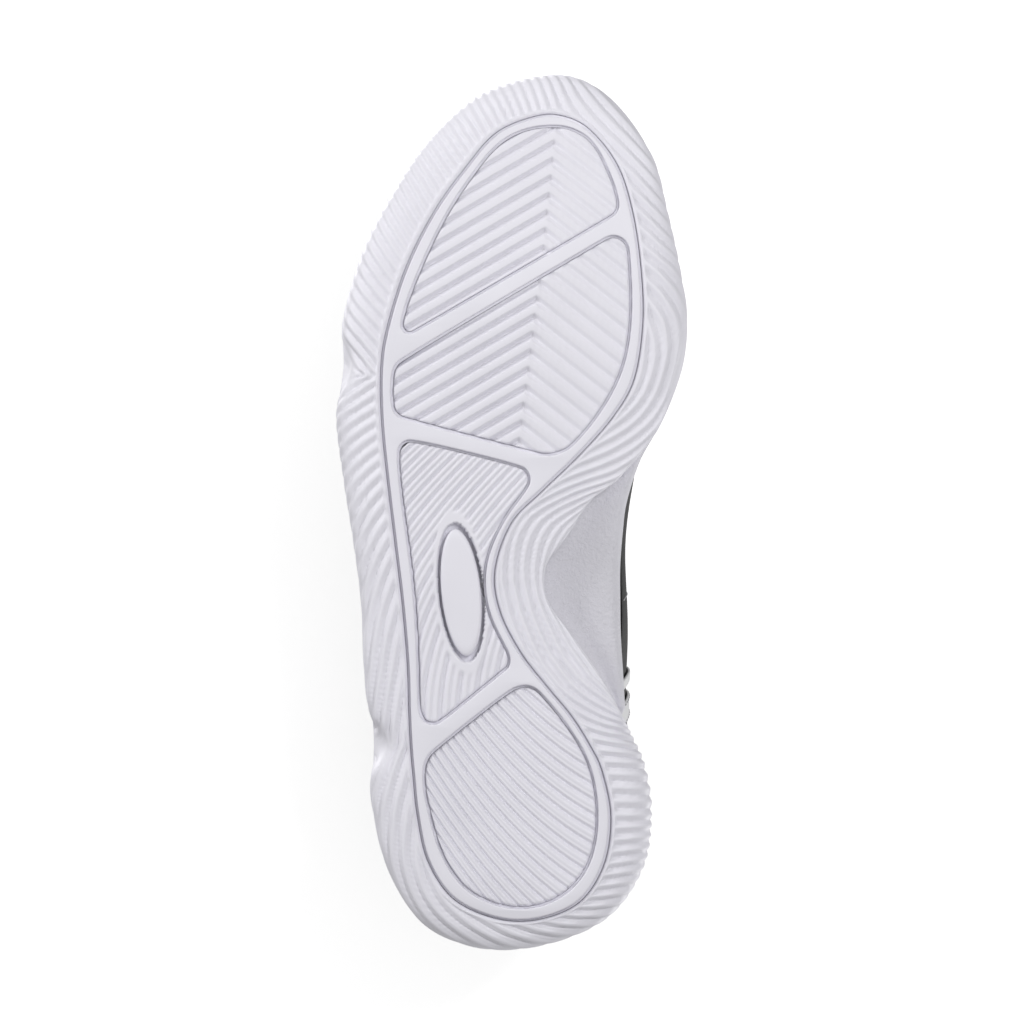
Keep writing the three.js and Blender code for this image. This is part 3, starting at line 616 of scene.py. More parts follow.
def fluting():
    """Phase round the sole, and how it advances from the frame to the widest line."""
    u = np.linspace(0, COUNT, SHELL_COLUMNS + 1)
    edge, wide = sole_line(0, u), sole_line(1, u)
    width = np.linalg.norm(wide - edge, axis=1)
    travel = np.linalg.norm(np.diff((edge + wide) / 2, axis=0), axis=1)
    angle = np.radians(np.interp(u, FLUTES[:, 0], FLUTES[:, 1]))
    pitch = np.interp(u, FLUTES[:, 0], FLUTES[:, 2])
    step = (np.cos(angle) / pitch)[:-1] * np.maximum(travel, 0.15)
    round_phase = np.concatenate([[0], np.cumsum(step)])
    round_phase -= (round_phase[-1] - np.round(round_phase[-1])) * u / COUNT
    return u, round_phase, np.sin(angle) / pitch * width


flute_u, flute_phase, flute_shear = fluting()


def ridges(phase):
    """Broad rounded ridges with a narrow groove between, and a fainter line on each."""
    off = np.abs(phase - np.round(phase))
    broad = (1 - (1 - 2 * off) ** 2) ** 0.75
    fine = np.abs(phase * 2 + 0.5 - np.round(phase * 2 + 0.5))
    return broad - 0.28 * np.clip(1 - fine / 0.16, 0, 1)


def within(u, start, end, before, after):
    """1 between two stations, running out to 0 over a stretch before and after each."""
    return smoothstep(u, start - before, start + after) * (
        1 - smoothstep(u, end - after, end + before))


def arch_fall(u):
    return within(u, *ARCH, 0.9, 0.2)


def lip_plan(u, fall, inset):
    return (sole_line(2, u, inset) * (1 - fall)[:, None]
            + sole_line(1, u, inset) * fall[:, None])


def drop(height, low, fall):
    return height * (1 - fall) + low * fall


def shell_section(u, v):
    """Points of the cup: v is 0 at the frame, 1 at the widest line, 2 at the lip's top."""
    fall = arch_fall(u)
    inner, outer = sole_line(0, u, -0.1), sole_line(1, u)
    lip = lip_plan(u, fall, 0.5)
    belly = (sole_line(1, u, 0.5) - outer) * (0.6 * (1 - fall))[:, None]
    middle = outer * 0.5 + lip * 0.5 - belly
    top = drop(LIP_TOP, TREAD_DEPTH + 0.4, fall)
    edge_z = drop(11, 3.5, fall)
    low_z = drop(5, 2.4, fall)
    plan = [inner, inner * 0.94 + outer * 0.06, inner * 0.45 + outer * 0.55,
            inner * 0.1 + outer * 0.9, outer, middle, lip]
    height = [np.full(len(u), 2.4), np.full(len(u), 0.75), np.full(len(u), 1.6), low_z, edge_z,
              (edge_z + top) / 2, top - 0.4]
    knots = [0, 0.06, 0.5, 0.82, 1.0, 1.5, 2.0]
    stack = np.stack([np.column_stack([p, z]) for p, z in zip(plan, height)])
    k = np.clip(np.searchsorted(knots, v, side="right") - 1, 0, len(knots) - 2)
    t = ((v - np.take(knots, k)) / (np.take(knots, k + 1) - np.take(knots, k)))[:, None]
    each = np.arange(len(u))
    a, b = stack[np.maximum(k - 1, 0), each], stack[k, each]
    c, d = stack[k + 1, each], stack[np.minimum(k + 2, len(knots) - 1), each]
    return smooth_between(a, b, c, d, t)


shell_rows = FACE_ROWS + WALL_ROWS + INSIDE_ROWS
bm, grid = flat_grid(SHELL_COLUMNS, shell_rows)
u = grid[:, 0] * COUNT
row = np.round(grid[:, 1] * shell_rows)
v_up = np.where(row <= FACE_ROWS, row / FACE_ROWS, 1 + (row - FACE_ROWS) / WALL_ROWS)
v_out = np.clip(v_up, 0, 2)
base = shell_section(u, v_out)
along = shell_section(u + NEAR, v_out) - shell_section(u - NEAR, v_out)
upward = (shell_section(u, np.clip(v_out + NEAR, 0, 2))
          - shell_section(u, np.clip(v_out - NEAR, 0, 2)))
normal = unit(np.cross(along, upward))
sweep = np.where(v_out < 1, v_out, 1 + (1 - np.exp(-2.2 * (v_out - 1))) * 0.3)
phase = np.interp(u, flute_u, flute_phase) + np.interp(u, flute_u, flute_shear) * sweep
fade = smoothstep(v_out, 0.05, 0.2) * (1 - smoothstep(v_out, 1.8, 1.97))
inner_heel = smoothstep(u, 20.5, 21.5) * (1 - smoothstep(u, 24, 24.6))
fade *= 1 - (0.7 - 0.45 * inner_heel) * np.exp(-((v_out - 1) / 0.2) ** 2)
for notch in NOTCHES:
    fade *= 1 - np.exp(-((u - notch) / 0.4) ** 2) * smoothstep(v_out, 0.55, 0.85)
depth = FLUTE_DEPTH - 0.6 * smoothstep(v_out, 1, 1.4)
depth = depth * fade * (1 - np.clip(ridges(phase), 0, 1))
outside = np.sign(np.sum(normal[:, :2] * (sole_line(1, u) - sole_line(0, u)), axis=1) + 1e-9)
turned = np.where(outside[:, None] > 0, normal, -normal)
face = base - turned * depth[:, None]
fall = arch_fall(u)
back = row - FACE_ROWS - WALL_ROWS
lip_in = lip_plan(u, fall, 2.4)
wall_in = sole_line(1, u, 3.8)
floor_in = sole_line(0, u, -0.1)
top = drop(LIP_TOP, TREAD_DEPTH + 0.4, fall)
lip_edge = base[:, :2]
inner_path = [
    (lip_edge * 0.75 + lip_in * 0.25, top), (lip_edge * 0.2 + lip_in * 0.8, top),
    (lip_in, top - 0.5), (wall_in, drop(16, TREAD_DEPTH + 0.2, fall)),
    (wall_in, np.full(len(u), TREAD_DEPTH)), (floor_in, np.full(len(u), TREAD_DEPTH))]
for k, (plan, height) in enumerate(inner_path, 1):
    on = back == k
    face[on] = np.column_stack([plan, height])[on]
set_points(bm.verts, face)
merge(bm, 0.004)
bmesh.ops.bridge_loops(bm, edges=[e for e in bm.edges if e.is_boundary])
face_outwards(bm)
settle(bm)
outsole = shoe_piece("outsole_cup", bm, sole_white)
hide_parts("outsole_shell")

# ---- Midsole: moulded foam, bare and pebbled in the hollow of the arch ----
foam_white = moulded_rubber("foam_white", (0.72, 0.71, 0.765), (0.68, 0.67, 0.72), 0.62,
                            720, 0.0014)
FOAM_PROFILE = [(0, 7.0, 0.0), (0.02, 10.0, 0.1), (0.1, 12.4, 0.3), (0.3, 13.4, 0.4),
                (0.6, 13.0, 0.5), (0.85, 13.2, 0.6), (0.96, 15.0, 0.7), (1, 18.5, 0.8),
                (1, 26, 1.0)]
bm, grid = flat_grid(820, 32)
u = grid[:, 0] * COUNT
share, arch_z, core_share = catmull(FOAM_PROFILE, grid[:, 1] * (len(FOAM_PROFILE) - 1), False).T
reach = within(u, *ARCH, 0.5, 0.4)
core = sole_line(1, u, 4.2)
share = np.clip(share, 0, 1)[:, None]
bare = sole_line(1, u, 1.0) * (1 - share) + sole_line(2, u, 0.2) * share
plan = core * (1 - reach)[:, None] + bare * reach[:, None]
height = drop(7.0 + (SOLE_TOP - 7.0) * np.clip(core_share, 0, 1), arch_z, reach)
set_points(bm.verts, np.column_stack([plan, np.minimum(height, SOLE_TOP)]))
merge(bm, 0.004)
fill_holes(bm)
slice_across(bm, 5)
face_outwards(bm)
settle(bm)
midsole = shoe_piece("midsole_foam", bm, foam_white, crease=45)
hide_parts("midsole")

# ---- Upper: the surface of the last ----
# Ribs w run from the heel (0) along the outer side to the toe (10) and back (20); t runs
# from the sole (0) to the collar, the throat or the ridge over the toes (1).
BASE_OUTER = [(0, 136.5), (-25.5, 128.5), (-36.7, 105), (-38.5, 75), (-40.5, 40), (-44.5, 5),
              (-49, -30), (-47, -65), (-37, -95), (-20.5, -118), (10, -136)]
BASE_INNER = [(27, 128.5), (38, 105), (32, 75), (34, 40), (34.8, 5), (41.5, -30),
              (49.5, -62), (43.8, -95), (34.5, -121.5)]
TOP_LINE = [(0, 127, 94), (22, 117, 86), (31, 97, 76), (28, 74, 82), (17, 51, 101),
            (14, 14, 85), (10, -20, 70)]
RIDGE = [(0, -42, 62.5), (3, -75, 58), (6.5, -102, 54.5), (9, -118, 51)]
RIB_SHAPE = [(4, 24, 5, 24), (4, 24, 5, 22), (4, 22, 4, 18), (4, 22, 5, 20), (4, 28, 12, 20),
             (5, 26, 16, 16), (5, 22, 18, 8), (5, 19, 24, 3), (4, 17, 22, 2), (3, 14, 18, 1.5),
             (2, 11, 11, 1)]
base_line = BASE_OUTER + BASE_INNER[::-1]
top_line = ([RIDGE[0]] + [(-x, y, z) for x, y, z in TOP_LINE[::-1]] + TOP_LINE[1:] + [RIDGE[0]])


def seat(y):
    """The height at which the upper stands on the sole."""
    return SOLE_TOP * sole_height(y) + lift(y) + 0.4


def on_last(w, t):
    w = np.mod(w, 20)
    rib = np.where(w <= 10, w, 20 - w)
    along = catmull(base_line, np.mod(w + NEAR, 20), True) - catmull(
        base_line, np.mod(w - NEAR, 20), True)
    out = unit(np.column_stack([along[:, 1], -along[:, 0], np.zeros(len(w))]))
    foot = np.column_stack([catmull(base_line, w, True), np.zeros(len(w))]) - 2 * out
    foot[:, 2] = seat(foot[:, 1])
    throat = catmull(top_line, np.clip(np.where(w <= 10, 7 - rib, 7 + rib), 0, 14), False)
    ridge = catmull(RIDGE, np.clip(rib - 7, 0, 3), False)
    top = np.where((rib >= 7)[:, None], ridge, throat)
    lean, rise, top_lean, fall = (c[:, None] for c in catmull(RIB_SHAPE, rib, False).T)
    up = np.array([0, 0, 1.0])
    low = foot + out * lean + up * rise
    high = top + out * top_lean - up * fall
    t = t[:, None]
    s = 1 - t
    return s ** 3 * foot + 3 * s * s * t * low + 3 * s * t * t * high + t ** 3 * top


def last_normal(w, t):
    near = np.clip(t, 0.01, 0.98)
    return unit(np.cross(on_last(w + 0.01, near) - on_last(w - 0.01, near),
                         on_last(w, near + 0.01) - on_last(w, near - 0.01)))


ARCH_BULGE = 2.2         # the outer layers stand further out beside the arch


def off_last(w, t, distance):
    """Points a distance off the last, in metres of the finished shoe."""
    w, t = np.atleast_1d(w).astype(float), np.atleast_1d(t).astype(float)
    distance = np.broadcast_to(distance, w.shape)
    normal = last_normal(w, t)
    wrapped = np.mod(w, 20)
    arch = np.exp(-((wrapped - 16.55) / 1.15) ** 4) * np.exp(-((t - 0.33) / 0.3) ** 2)
    distance = distance + ARCH_BULGE * arch * (distance > 2.5)
    rib = np.where(wrapped <= 10, wrapped, 20 - wrapped)
    meets = smoothstep(t, 0.9, 1.0) * smoothstep(rib, 6.9, 7.05)
    normal = unit(normal + last_normal(20 - w, t) * meets[:, None])
    point = on_last(w, t) + normal * distance[:, None]
    point[:, 2] = np.maximum(point[:, 2], seat(point[:, 1]))
    return (point + (CENTRE_X, CENTRE_Y, 0)) * MM


def soften_rim(bm, radius):
    """Rounds the sharp edges of a closed sheet, as skived and folded edges are."""
    rim = [e for e in bm.edges if len(e.link_faces) == 2 and e.calc_face_angle(0) > 0.9]
    bmesh.ops.bevel(bm, geom=rim, offset=radius, segments=2, affect="EDGES", profile=0.5,
                    material=-1, clamp_overlap=True)


def upper_sheet(name, span, low, high, layer, material, steps, slant=0.0, bevel=0.35):
    """A closed sheet on the last: ribs span, rows low to high, between two distances."""
    bm, grid = flat_grid(round((span[1] - span[0]) / steps[0]), steps[1])
    in_w = bm.verts.layers.float.new("rib")
    in_t = bm.verts.layers.float.new("row")
    for v, (x, y) in zip(bm.verts, grid):
        w = span[0] + x * (span[1] - span[0])
        top = high(w) if callable(high) else high
        v[in_t] = low + y * (top - low)
        v[in_w] = w + slant * v[in_t]

    def spread(verts, distance):
        w = np.array([v[in_w] for v in verts])
        t = np.array([v[in_t] for v in verts])
        set_points(verts, off_last(w, t, distance))

    spread(bm.verts[:], layer[0])
    merge(bm, 0.00005)
    raised = bmesh.ops.extrude_face_region(bm, geom=bm.faces[:])
    spread(new_verts(raised), layer[1])
    face_outwards(bm)
    soften_rim(bm, bevel * MM)
    return shoe_piece(name, bm, material)


def leather(name, colour, roughness, grain, depth):
    """Leather or coated fabric: pebbled grain over a finer one, with faint cloudiness."""
    material = moulded_rubber(name, colour, tuple(c * 0.8 for c in colour), roughness, grain * 3,
                              depth * 0.3)
    nodes, link = material.node_tree.nodes, material.node_tree.links.new
    pebble = add_node(material, "TexVoronoi")
    pebble.feature = "SMOOTH_F1"
    set_inputs(pebble, {"Scale": grain})
    link(nodes["Texture Coordinate"].outputs["Object"], pebble.inputs["Vector"])
    bump = add_bump(material, pebble.outputs["Distance"], 0.6, depth)
    bump.invert = True
    link(nodes["Bump"].outputs["Normal"], bump.inputs["Normal"])
    return material


def woven(name, colour, other, scale, roughness, sheen, depth):
    """Knitted or woven textile: crossing threads in two shades, with a soft sheen."""
    material, link = new_material(name)
    place = add_node(material, "TexCoord").outputs["Object"]
    weave = add_node(material, "Math")
    weave.operation = "MULTIPLY"
    for i, direction in enumerate(("DIAGONAL", "Z")):
        wave = add_node(material, "TexWave", {"Scale": scale, "Distortion": 0.6, "Detail": 1})
        wave.bands_direction = direction
        link(place, wave.inputs["Vector"])
        link(wave.outputs["Fac"], weave.inputs[i])
    add_tint(material, weave.outputs[0], ((0, other), (0.55, colour)))
    add_bump(material, weave.outputs[0], 0.7, depth)
    set_inputs(paint_of(material),
               {"Roughness": roughness, "Sheen Weight": sheen, "Sheen Roughness": 0.5})
    return material


black_leather = leather("black_leather", (0.009, 0.009, 0.01), 0.46, 900, 0.00018)
set_inputs(paint_of(black_leather), {"Specular IOR Level": 0.12})
white_leather = leather("white_leather", (0.80, 0.80, 0.81), 0.45, 900, 0.00012)
lining_knit = woven("lining_knit", (0.035, 0.035, 0.038), (0.012, 0.012, 0.013),
                    420, 0.85, 0.3, 0.0002)
collar_knit = woven("collar_knit", (0.03, 0.03, 0.033), (0.009, 0.009, 0.01),
                    520, 0.8, 0.35, 0.00025)
tongue_knit = woven("tongue_knit", (0.05, 0.05, 0.054), (0.01, 0.01, 0.011),
                    380, 0.85, 0.3, 0.0003)
footbed_knit = woven("footbed_knit", (0.10, 0.10, 0.105), (0.04, 0.04, 0.043),
                     600, 0.9, 0.25, 0.00015)
webbing = woven("webbing", (0.04, 0.04, 0.043), (0.01, 0.01, 0.011), 650, 0.7, 0.2, 0.0004)
board = woven("fibre_board", (0.62, 0.60, 0.55), (0.45, 0.43, 0.39), 900, 0.9, 0.1, 0.0001)
thread = leather("thread", (0.42, 0.42, 0.44), 0.7, 2600, 0.00005)

# ---- Lasting parts inside the shoe: board, stiffeners and the knitted lining ----
# The stiff parts keep their CAD shape, as they lie hidden between the layers.
for node in ("strobel_board", "toe_puff", "heel_stiffener"):
    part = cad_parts[node]
    part.data.materials.clear()
    part.data.materials.append(board)
lining = upper_sheet("lining_knitted", (0, 20), 0, 1, (0.3, 1.3), lining_knit, steps=(0.125, 30),
                     bevel=0.3)
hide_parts("lining")

# ---- Vamp and quarters: smooth black leather sewn over the last ----
SHELL_LAYER = (2.8, 4.2)
vamp = upper_sheet("vamp_leather", (5.94, 14.06), 0, 1, SHELL_LAYER, black_leather,
                   steps=(0.08, 30))
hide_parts("vamp")


def quarter_top(w):
    """Low under the collar's padding, then up to the edge of the throat."""
    wrapped = w % 20
    rib = min(wrapped, 20 - wrapped)
    t = min(max((rib - 3.75) / 0.4, 0), 1)
    return 0.798 + 0.202 * t * t * (3 - 2 * t)


for side, span in (("lateral", (0.06, 5.9)), ("medial", (14.1, 19.94))):
    quarter = upper_sheet("quarter_leather_" + side, span, 0, quarter_top, SHELL_LAYER,
                          black_leather, steps=(0.06, 28))
    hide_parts("quarter_" + side)

# Overlays: eyestays, toe guard and heel counter, a second layer with skived edges.
OVERLAY = (4.6, 5.8)
for name, span, low, high in (
        ("eyestay_lateral", (4.12, 6.85), 0.875, 1), ("eyestay_medial", (13.15, 15.88), 0.875, 1),
        ("toe_guard", (7.7, 12.3), 0, lambda w: 0.5 - 0.16 * abs((w - 10) / 2.3) ** 4
         + 0.13 * math.exp(-((w - 10) / 0.7) ** 2)),
        ("heel_counter", (-2.3, 2.3), 0, lambda w: 0.625 - 0.14 * abs(w / 2.3) ** 6)):
    overlay = upper_sheet(name + "_leather", span, low, high, OVERLAY, black_leather,
                          steps=(0.06, 16), bevel=0.45)
    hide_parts(name)

# Speckled mesh inset behind the stripes, let into the leather on both sides.
STRIPE_SLANT = 0.62
mesh_cloth = woven("mesh_cloth", (0.55, 0.55, 0.56), (0.012, 0.012, 0.013), 300, 0.8, 0.2, 0.0003)
for side, span, lean in (("lateral", (2.42, 2.92), 1), ("medial", (17.08, 17.58), -1)):
    inset = upper_sheet("mesh_inset_" + side, span, 0.02, 0.68, (4.25, 4.6), mesh_cloth,
                        steps=(0.025, 40), slant=STRIPE_SLANT * lean, bevel=0.15)

# Two slanted white stripes on each side.
for side, lean in (("lateral", 1), ("medial", -1)):
    for place, start, end in (("front", 3.42, 3.52), ("rear", 3.02, 3.26)):
        span = (start, end) if side == "lateral" else (20 - end, 20 - start)
        stripe = upper_sheet(f"stripe_{side}_{place}_leather", span, 0.02, 0.75, (4.6, 5.4),
                             white_leather, steps=(0.02, 60), slant=STRIPE_SLANT * lean, bevel=0.25)
        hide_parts(f"stripe_{side}_{place}")

# ---- Stitching: rows of thread along the overlays, the collar and the stripes ----
# Each stitch is a short round-ended bar that sits half sunk in the leather.
STITCH = 2.3
STITCH_GAP = 0.9
THREAD = (0.75, 0.6)


def stitch_row(bm, start, end, distance):
    w, t = np.linspace(start, end, 160).T
    path = off_last(w, t, distance) / MM
    normals = last_normal(w, t)
    run = np.concatenate([[0], np.cumsum(np.linalg.norm(np.diff(path, axis=0), axis=1))])
    for s in np.arange(STITCH_GAP, run[-1] - STITCH, STITCH + STITCH_GAP):
        ends = [np.array([np.interp(s + x, run, path[:, k]) for k in range(3)])
                for x in (0, STITCH)]
        up = np.array([np.interp(s + STITCH / 2, run, normals[:, k]) for k in range(3)])
        ahead = Vector(ends[1] - ends[0]).normalized()
        side = Vector(up).cross(ahead).normalized()
        up = ahead.cross(side)
        turn = Matrix((side, up, ahead)).transposed().to_4x4()
        turn.translation = Vector((ends[0] + ends[1]) / 2)
        bmesh.ops.create_icosphere(bm, subdivisions=1, radius=0.5,
                                   matrix=turn @ Matrix.Diagonal((*THREAD, STITCH, 1)))


# Rows on the outer side as (rib, row) ends, height off the last and slant.
STITCH_ROWS = [
    ((4.2, 0.89), (6.8, 0.89), 5.9, 0), ((4.2, 0.985), (6.8, 0.985), 5.9, 0),
    ((7.75, 0.02), (7.75, 0.33), 5.9, 0), ((2.25, 0.02), (2.25, 0.47), 5.9, 0),
    ((0.2, 0.785), (3.7, 0.785), 4.25, 0), ((6.0, 0.03), (6.0, 0.86), 4.25, 0),
    ((6.08, 0.03), (6.08, 0.86), 4.25, 0), ((4.3, 0.03), (4.75, 0.86), 4.25, 0),
    ((3.04, 0.03), (3.04, 0.73), 5.45, STRIPE_SLANT),
    ((3.24, 0.03), (3.24, 0.73), 5.45, STRIPE_SLANT)]
bm = bmesh.new()
for middle, side in ((0, 1), (20, -1)):
    for *ends, distance, slant in STITCH_ROWS:
        stitch_row(bm, *((middle + side * w + side * slant * t, t) for w, t in ends), distance)
for v in bm.verts:
    v.co *= MM
stitches = shoe_piece("stitches", bm, thread)

# ---- Collar: foam roll in knitted cloth, sewn to the quarters and over the lining's edge ----
COLLAR_LOOP = [(0.806, 1.8), (0.806, 3.2), (0.818, 4.9), (0.85, 6.0), (0.90, 6.5), (0.95, 6.2),
               (0.99, 5.1), (1.012, 3.6), (1.018, 1.9), (1.010, 0.5), (1.003, 0.4), (1.003, 1.5),
               (0.98, 1.7), (0.9, 1.7)]
COLLAR_END = 3.7
QUILT_LINE = 1.9
bm, grid = flat_grid(260, 56)
w = COLLAR_END * (grid[:, 0] * 2 - 1)
t, distance = catmull(COLLAR_LOOP, grid[:, 1] * len(COLLAR_LOOP), True).T
taper = smoothstep(COLLAR_END - np.abs(w), -0.02, 0.35)
puckers = 0.25 * np.sin(w * 14 + 3 * np.sin(w * 3)) * np.exp(-((t - 0.83) / 0.03) ** 2)
quilt = -0.5 * np.exp(-((np.abs(w) - QUILT_LINE) / 0.08) ** 2)
plump = np.where(distance > 2.2, (distance - 2.2) * taper + puckers + quilt * (distance > 4), 0)
distance = np.where(distance > 2.2, 2.2 + plump, distance)
set_points(bm.verts, off_last(np.mod(w, 20), t, distance))
merge(bm, 0.00002)
fill_holes(bm)
face_outwards(bm)
collar = shoe_piece("collar_padded", bm, collar_knit)
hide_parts("collar_padding")

# ---- Insole: removable moulded footbed with a cupped edge and a knitted top ----
INSOLE_BASE = 28.0
INSOLE_THICKNESS = 3.7
bm, grid = flat_grid(200, 24)
w = np.mod(grid[:, 0] * 20, 20)
foot = off_last(w, np.zeros(len(w)), 0.0) / MM - (CENTRE_X, CENTRE_Y, 0)
middle = np.column_stack([np.interp(foot[:, 1], [-130, -60, 0, 60, 130], [10, 1, -5, -4, 0]),
                          np.clip(foot[:, 1], -112, 112)])
rim = foot[:, :2] - middle
rim *= (1 - 1.0 / np.maximum(np.linalg.norm(rim, axis=1), 2))[:, None]
share = 1 - grid[:, 1]
plan = middle + rim * share[:, None]
cup = 1.3 * smoothstep(share, 0.7, 1.0) * smoothstep(foot[:, 1], -60, 40)
edge = 1.0 - np.sqrt(np.clip(1 - np.clip((share - 0.975) / 0.025, 0, 1) ** 2, 0, 1))
set_points(bm.verts, np.column_stack([plan, INSOLE_BASE + INSOLE_THICKNESS + cup - edge]))
merge(bm, 0.01)
skirt = bmesh.ops.extrude_edge_only(bm, edges=[e for e in bm.edges if e.is_boundary
                                               and e.verts[0].co.z < INSOLE_BASE + 4.3])
for v in new_verts(skirt):
    v.co.z = INSOLE_BASE + 0.1
fill_holes(bm)
bmesh.ops.triangulate(bm, faces=[f for f in bm.faces if len(f.verts) > 4])
face_outwards(bm)
settle(bm)
insole = shoe_piece("insole_footbed", bm, footbed_knit, crease=60)
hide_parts("insole")

# ---- Eyelets: twelve enamelled rings clinched through the eyestays ----
enamel = moulded_rubber("eyelet_enamel", (0.03, 0.03, 0.032), (0.02, 0.02, 0.022), 0.25,
                        1500, 0.00002)
set_inputs(paint_of(enamel), {"Coat Weight": 0.6})
EYELET_SECTION = [(2.1, 0.3), (2.1, 6.6), (2.35, 7.0), (2.9, 7.15), (3.6, 6.95), (4.1, 6.5),
                  (4.1, 6.2), (2.7, 6.2), (2.7, 0.3)]
for side in ("lateral", "medial"):
    for i, rib in enumerate(np.linspace(4.25, 6, 6)):
        place = (np.array([rib if side == "lateral" else 20 - rib]), np.array([0.93]))
        centre = on_last(*place)[0]
        axis = Vector(last_normal(*place)[0])
        bm = bmesh.new()
        section = [bm.verts.new((r, 0, h)) for r, h in EYELET_SECTION]
        profile = [bm.edges.new(pair) for pair in zip(section, section[1:] + section[:1])]
        bmesh.ops.spin(bm, geom=section + profile, cent=(0, 0, 0), axis=(0, 0, 1),
                       angle=2 * math.pi, steps=40, use_merge=True)
        turn = Vector((0, 0, 1)).rotation_difference(axis).to_matrix().to_4x4()
        turn.translation = Vector(centre) + Vector((CENTRE_X, CENTRE_Y, 0))
        bmesh.ops.transform(bm, verts=bm.verts, matrix=Matrix.Scale(MM, 4) @ turn)
        face_outwards(bm)
        ring = shoe_piece(f"eyelet_ring_{side}_{i + 1}", bm, enamel, crease=40)
        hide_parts(f"eyelet_{side}_{i + 1}")

# ---- Tongue: knitted cover over a thin foam, bridging the throat and standing above it ----
TONGUE_ROOT, TONGUE_HEAD, TONGUE_ABOVE = 6.4, 4.2, 22.0
TONGUE_RISE = np.array([0, 0.6, 0.8])


def tongue_points(row, cross, distance):
    """row is 0 at the root, 1 at the top eyelets and 2 at the tip; cross runs 0 to 1."""
    body = np.clip(row, -0.27, 1)
    beyond = np.clip(row - 1, 0, 1) * TONGUE_ABOVE
    rib = TONGUE_ROOT + (TONGUE_HEAD - TONGUE_ROOT) * body
    edge = 0.80 + 0.14 * body

    def flap(w, k):
        t = edge + (0.985 - edge) * k / 2
        return on_last(w, t) + last_normal(w, t) * distance[:, None]

    left = [flap(rib, k) for k in (0, 1, 2)]
    right = [flap(20 - rib, k) for k in (2, 1, 0)]
    crown = 0.1 * np.linalg.norm(on_last(rib, np.ones(len(rib)))
                                 - on_last(20 - rib, np.ones(len(rib))), axis=1)
    bridge = []
    for f in (0.25, 0.5, 0.75):
        point = left[2] * (1 - f) + right[0] * f
        point[:, 2] += crown * math.sin(math.pi * f)
        bridge.append(point)
    stack = np.stack(left + bridge + right)
    stack[:, :, 0] *= 1 - 0.22 * (beyond / TONGUE_ABOVE)
    stack = stack + TONGUE_RISE * beyond[:, None]
    place = cross * 8
    k = np.clip(np.floor(place).astype(int), 0, 7)
    f = (place - k)[:, None]
    each = np.arange(len(row))
    a, b = stack[np.maximum(k - 1, 0), each], stack[k, each]
    c, d = stack[k + 1, each], stack[np.minimum(k + 2, 8), each]
    return (smooth_between(a, b, c, d, f) + (CENTRE_X, CENTRE_Y, 0)) * MM


def tongue_sheet(name, rows, columns, layer, swell, material, steps=(60, 48), body="tongue"):
    """A closed sheet of the tongue, between two distances off the last, each with a swell."""
    bm, grid = flat_grid(steps[1], steps[0])
    x, y = grid[:, 0] * 2 - 1, grid[:, 1] * 2 - 1
    row = rows[0] + (rows[1] - rows[0]) * grid[:, 1]
    cross = columns[0] + (columns[1] - columns[0]) * grid[:, 0]
    corner = np.clip(row - 1.55, 0, None) * 0.55
    cross = 0.5 + (cross - 0.5) * (1 - corner ** 2)
    puff = (1 - np.abs(x) ** 6) * (1 - np.abs(y) ** 8)
    low = tongue_points(row, cross, layer[0] + swell[0] * puff)
    high = tongue_points(row, cross, layer[1] + swell[1] * puff)
    set_points(bm.verts, low)
    raised = bmesh.ops.extrude_face_region(bm, geom=bm.faces[:])
    set_points(new_verts(raised), high)
    face_outwards(bm)
    soften_rim(bm, 0.4 * MM)
    return shoe_piece(name, bm, material, body=body)


cover = tongue_sheet("tongue_cover", (0, 2), (0, 1), (-2.0, -0.7), (0, 0.2), tongue_knit)
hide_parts("tongue")
foam = tongue_sheet("tongue_foam", (0.5, 1.98), (0.12, 0.88), (-5.0, -2.4), (-0.7, 0),
                    tongue_knit)
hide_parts("tongue_padding")
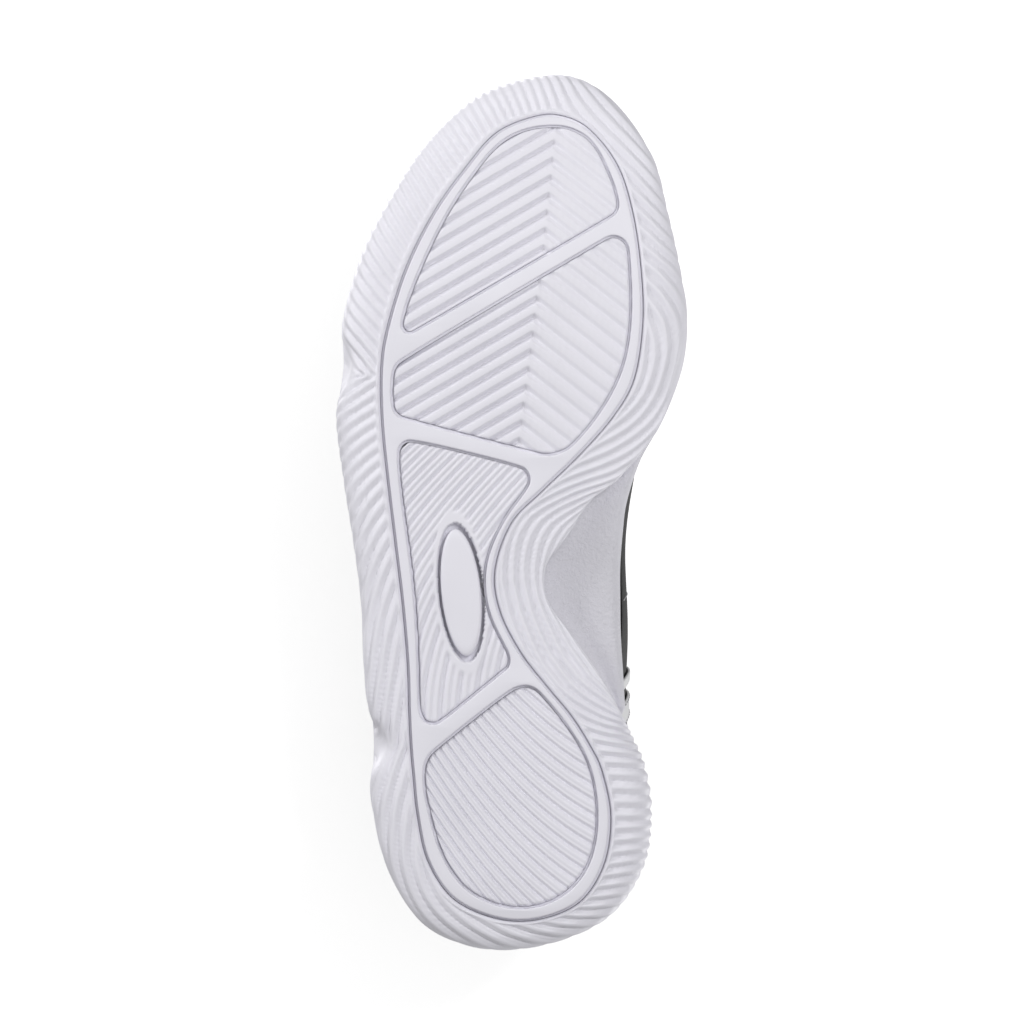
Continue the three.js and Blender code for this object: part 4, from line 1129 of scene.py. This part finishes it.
# The gusset closes the end of the throat under the tongue's seam and stays with the vamp.
gusset = tongue_sheet("tongue_gusset", (-0.27, 0.01), (0.14, 0.86), (-4.6, -3.5), (0, 0),
                      tongue_knit, steps=(8, 32), body="shoe")
loop = tongue_sheet("tongue_lace_loop", (0.84, 1.0), (0.375, 0.625), (0.2, 1.1), (0, 0.3),
                    black_leather, steps=(10, 12))
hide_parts("tongue_loop")

# A webbing strip down the heel, which the pull tab's foot is sewn to.
strip = upper_sheet("heel_strip_webbing", (-0.27, 0.27), 0.3, 0.88, (6.0, 7.1), webbing,
                    steps=(0.03, 40), bevel=0.3)

# ---- Heel pull tab: a folded loop of webbing, bar-tacked at its foot ----
TAB_WIDTH, TAB_HEIGHT, TAB_DEPTH, TAB_STRAP = 16.0, 24.0, 8.0, 1.5
foot = on_last(np.array([0.0]), np.array([0.86]))[0]
foot_y, foot_z = float(foot[1]) + 6.0 + 1.2 + TAB_DEPTH / 2, float(foot[2])
bm, _ = flat_grid(96, 22)
straight = TAB_HEIGHT - TAB_DEPTH
r = (TAB_DEPTH - TAB_STRAP) / 2
half_turn = math.pi * r
for v in bm.verts:
    s, x = (v.co.x + 0.5) * 2 * (straight + half_turn), v.co.y * TAB_WIDTH
    if s < straight:
        y, z = r, s
    elif s < straight + half_turn:
        a = (s - straight) / r
        y, z = r * math.cos(a), straight + r * math.sin(a)
    elif s < 2 * straight + half_turn:
        y, z = -r, 2 * straight + half_turn - s
    else:
        a = (s - 2 * straight - half_turn) / r
        y, z = -r * math.cos(a), -r * math.sin(a)
    v.co = (x, y, z)
merge(bm, 0.01)
face_outwards(bm)
bmesh.ops.solidify(bm, geom=bm.faces[:], thickness=TAB_STRAP)
face_outwards(bm)
depths = [v.co.y for v in bm.verts]
off_centre = (min(depths) + max(depths)) / 2
soften_rim(bm, 0.35)
bmesh.ops.translate(bm, verts=bm.verts, vec=(CENTRE_X, foot_y + CENTRE_Y - off_centre, foot_z))
bmesh.ops.scale(bm, verts=bm.verts, vec=(MM, MM, MM))
tab = shoe_piece("pull_tab_webbing", bm, webbing, body="pull_tab")
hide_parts("pull_tab")
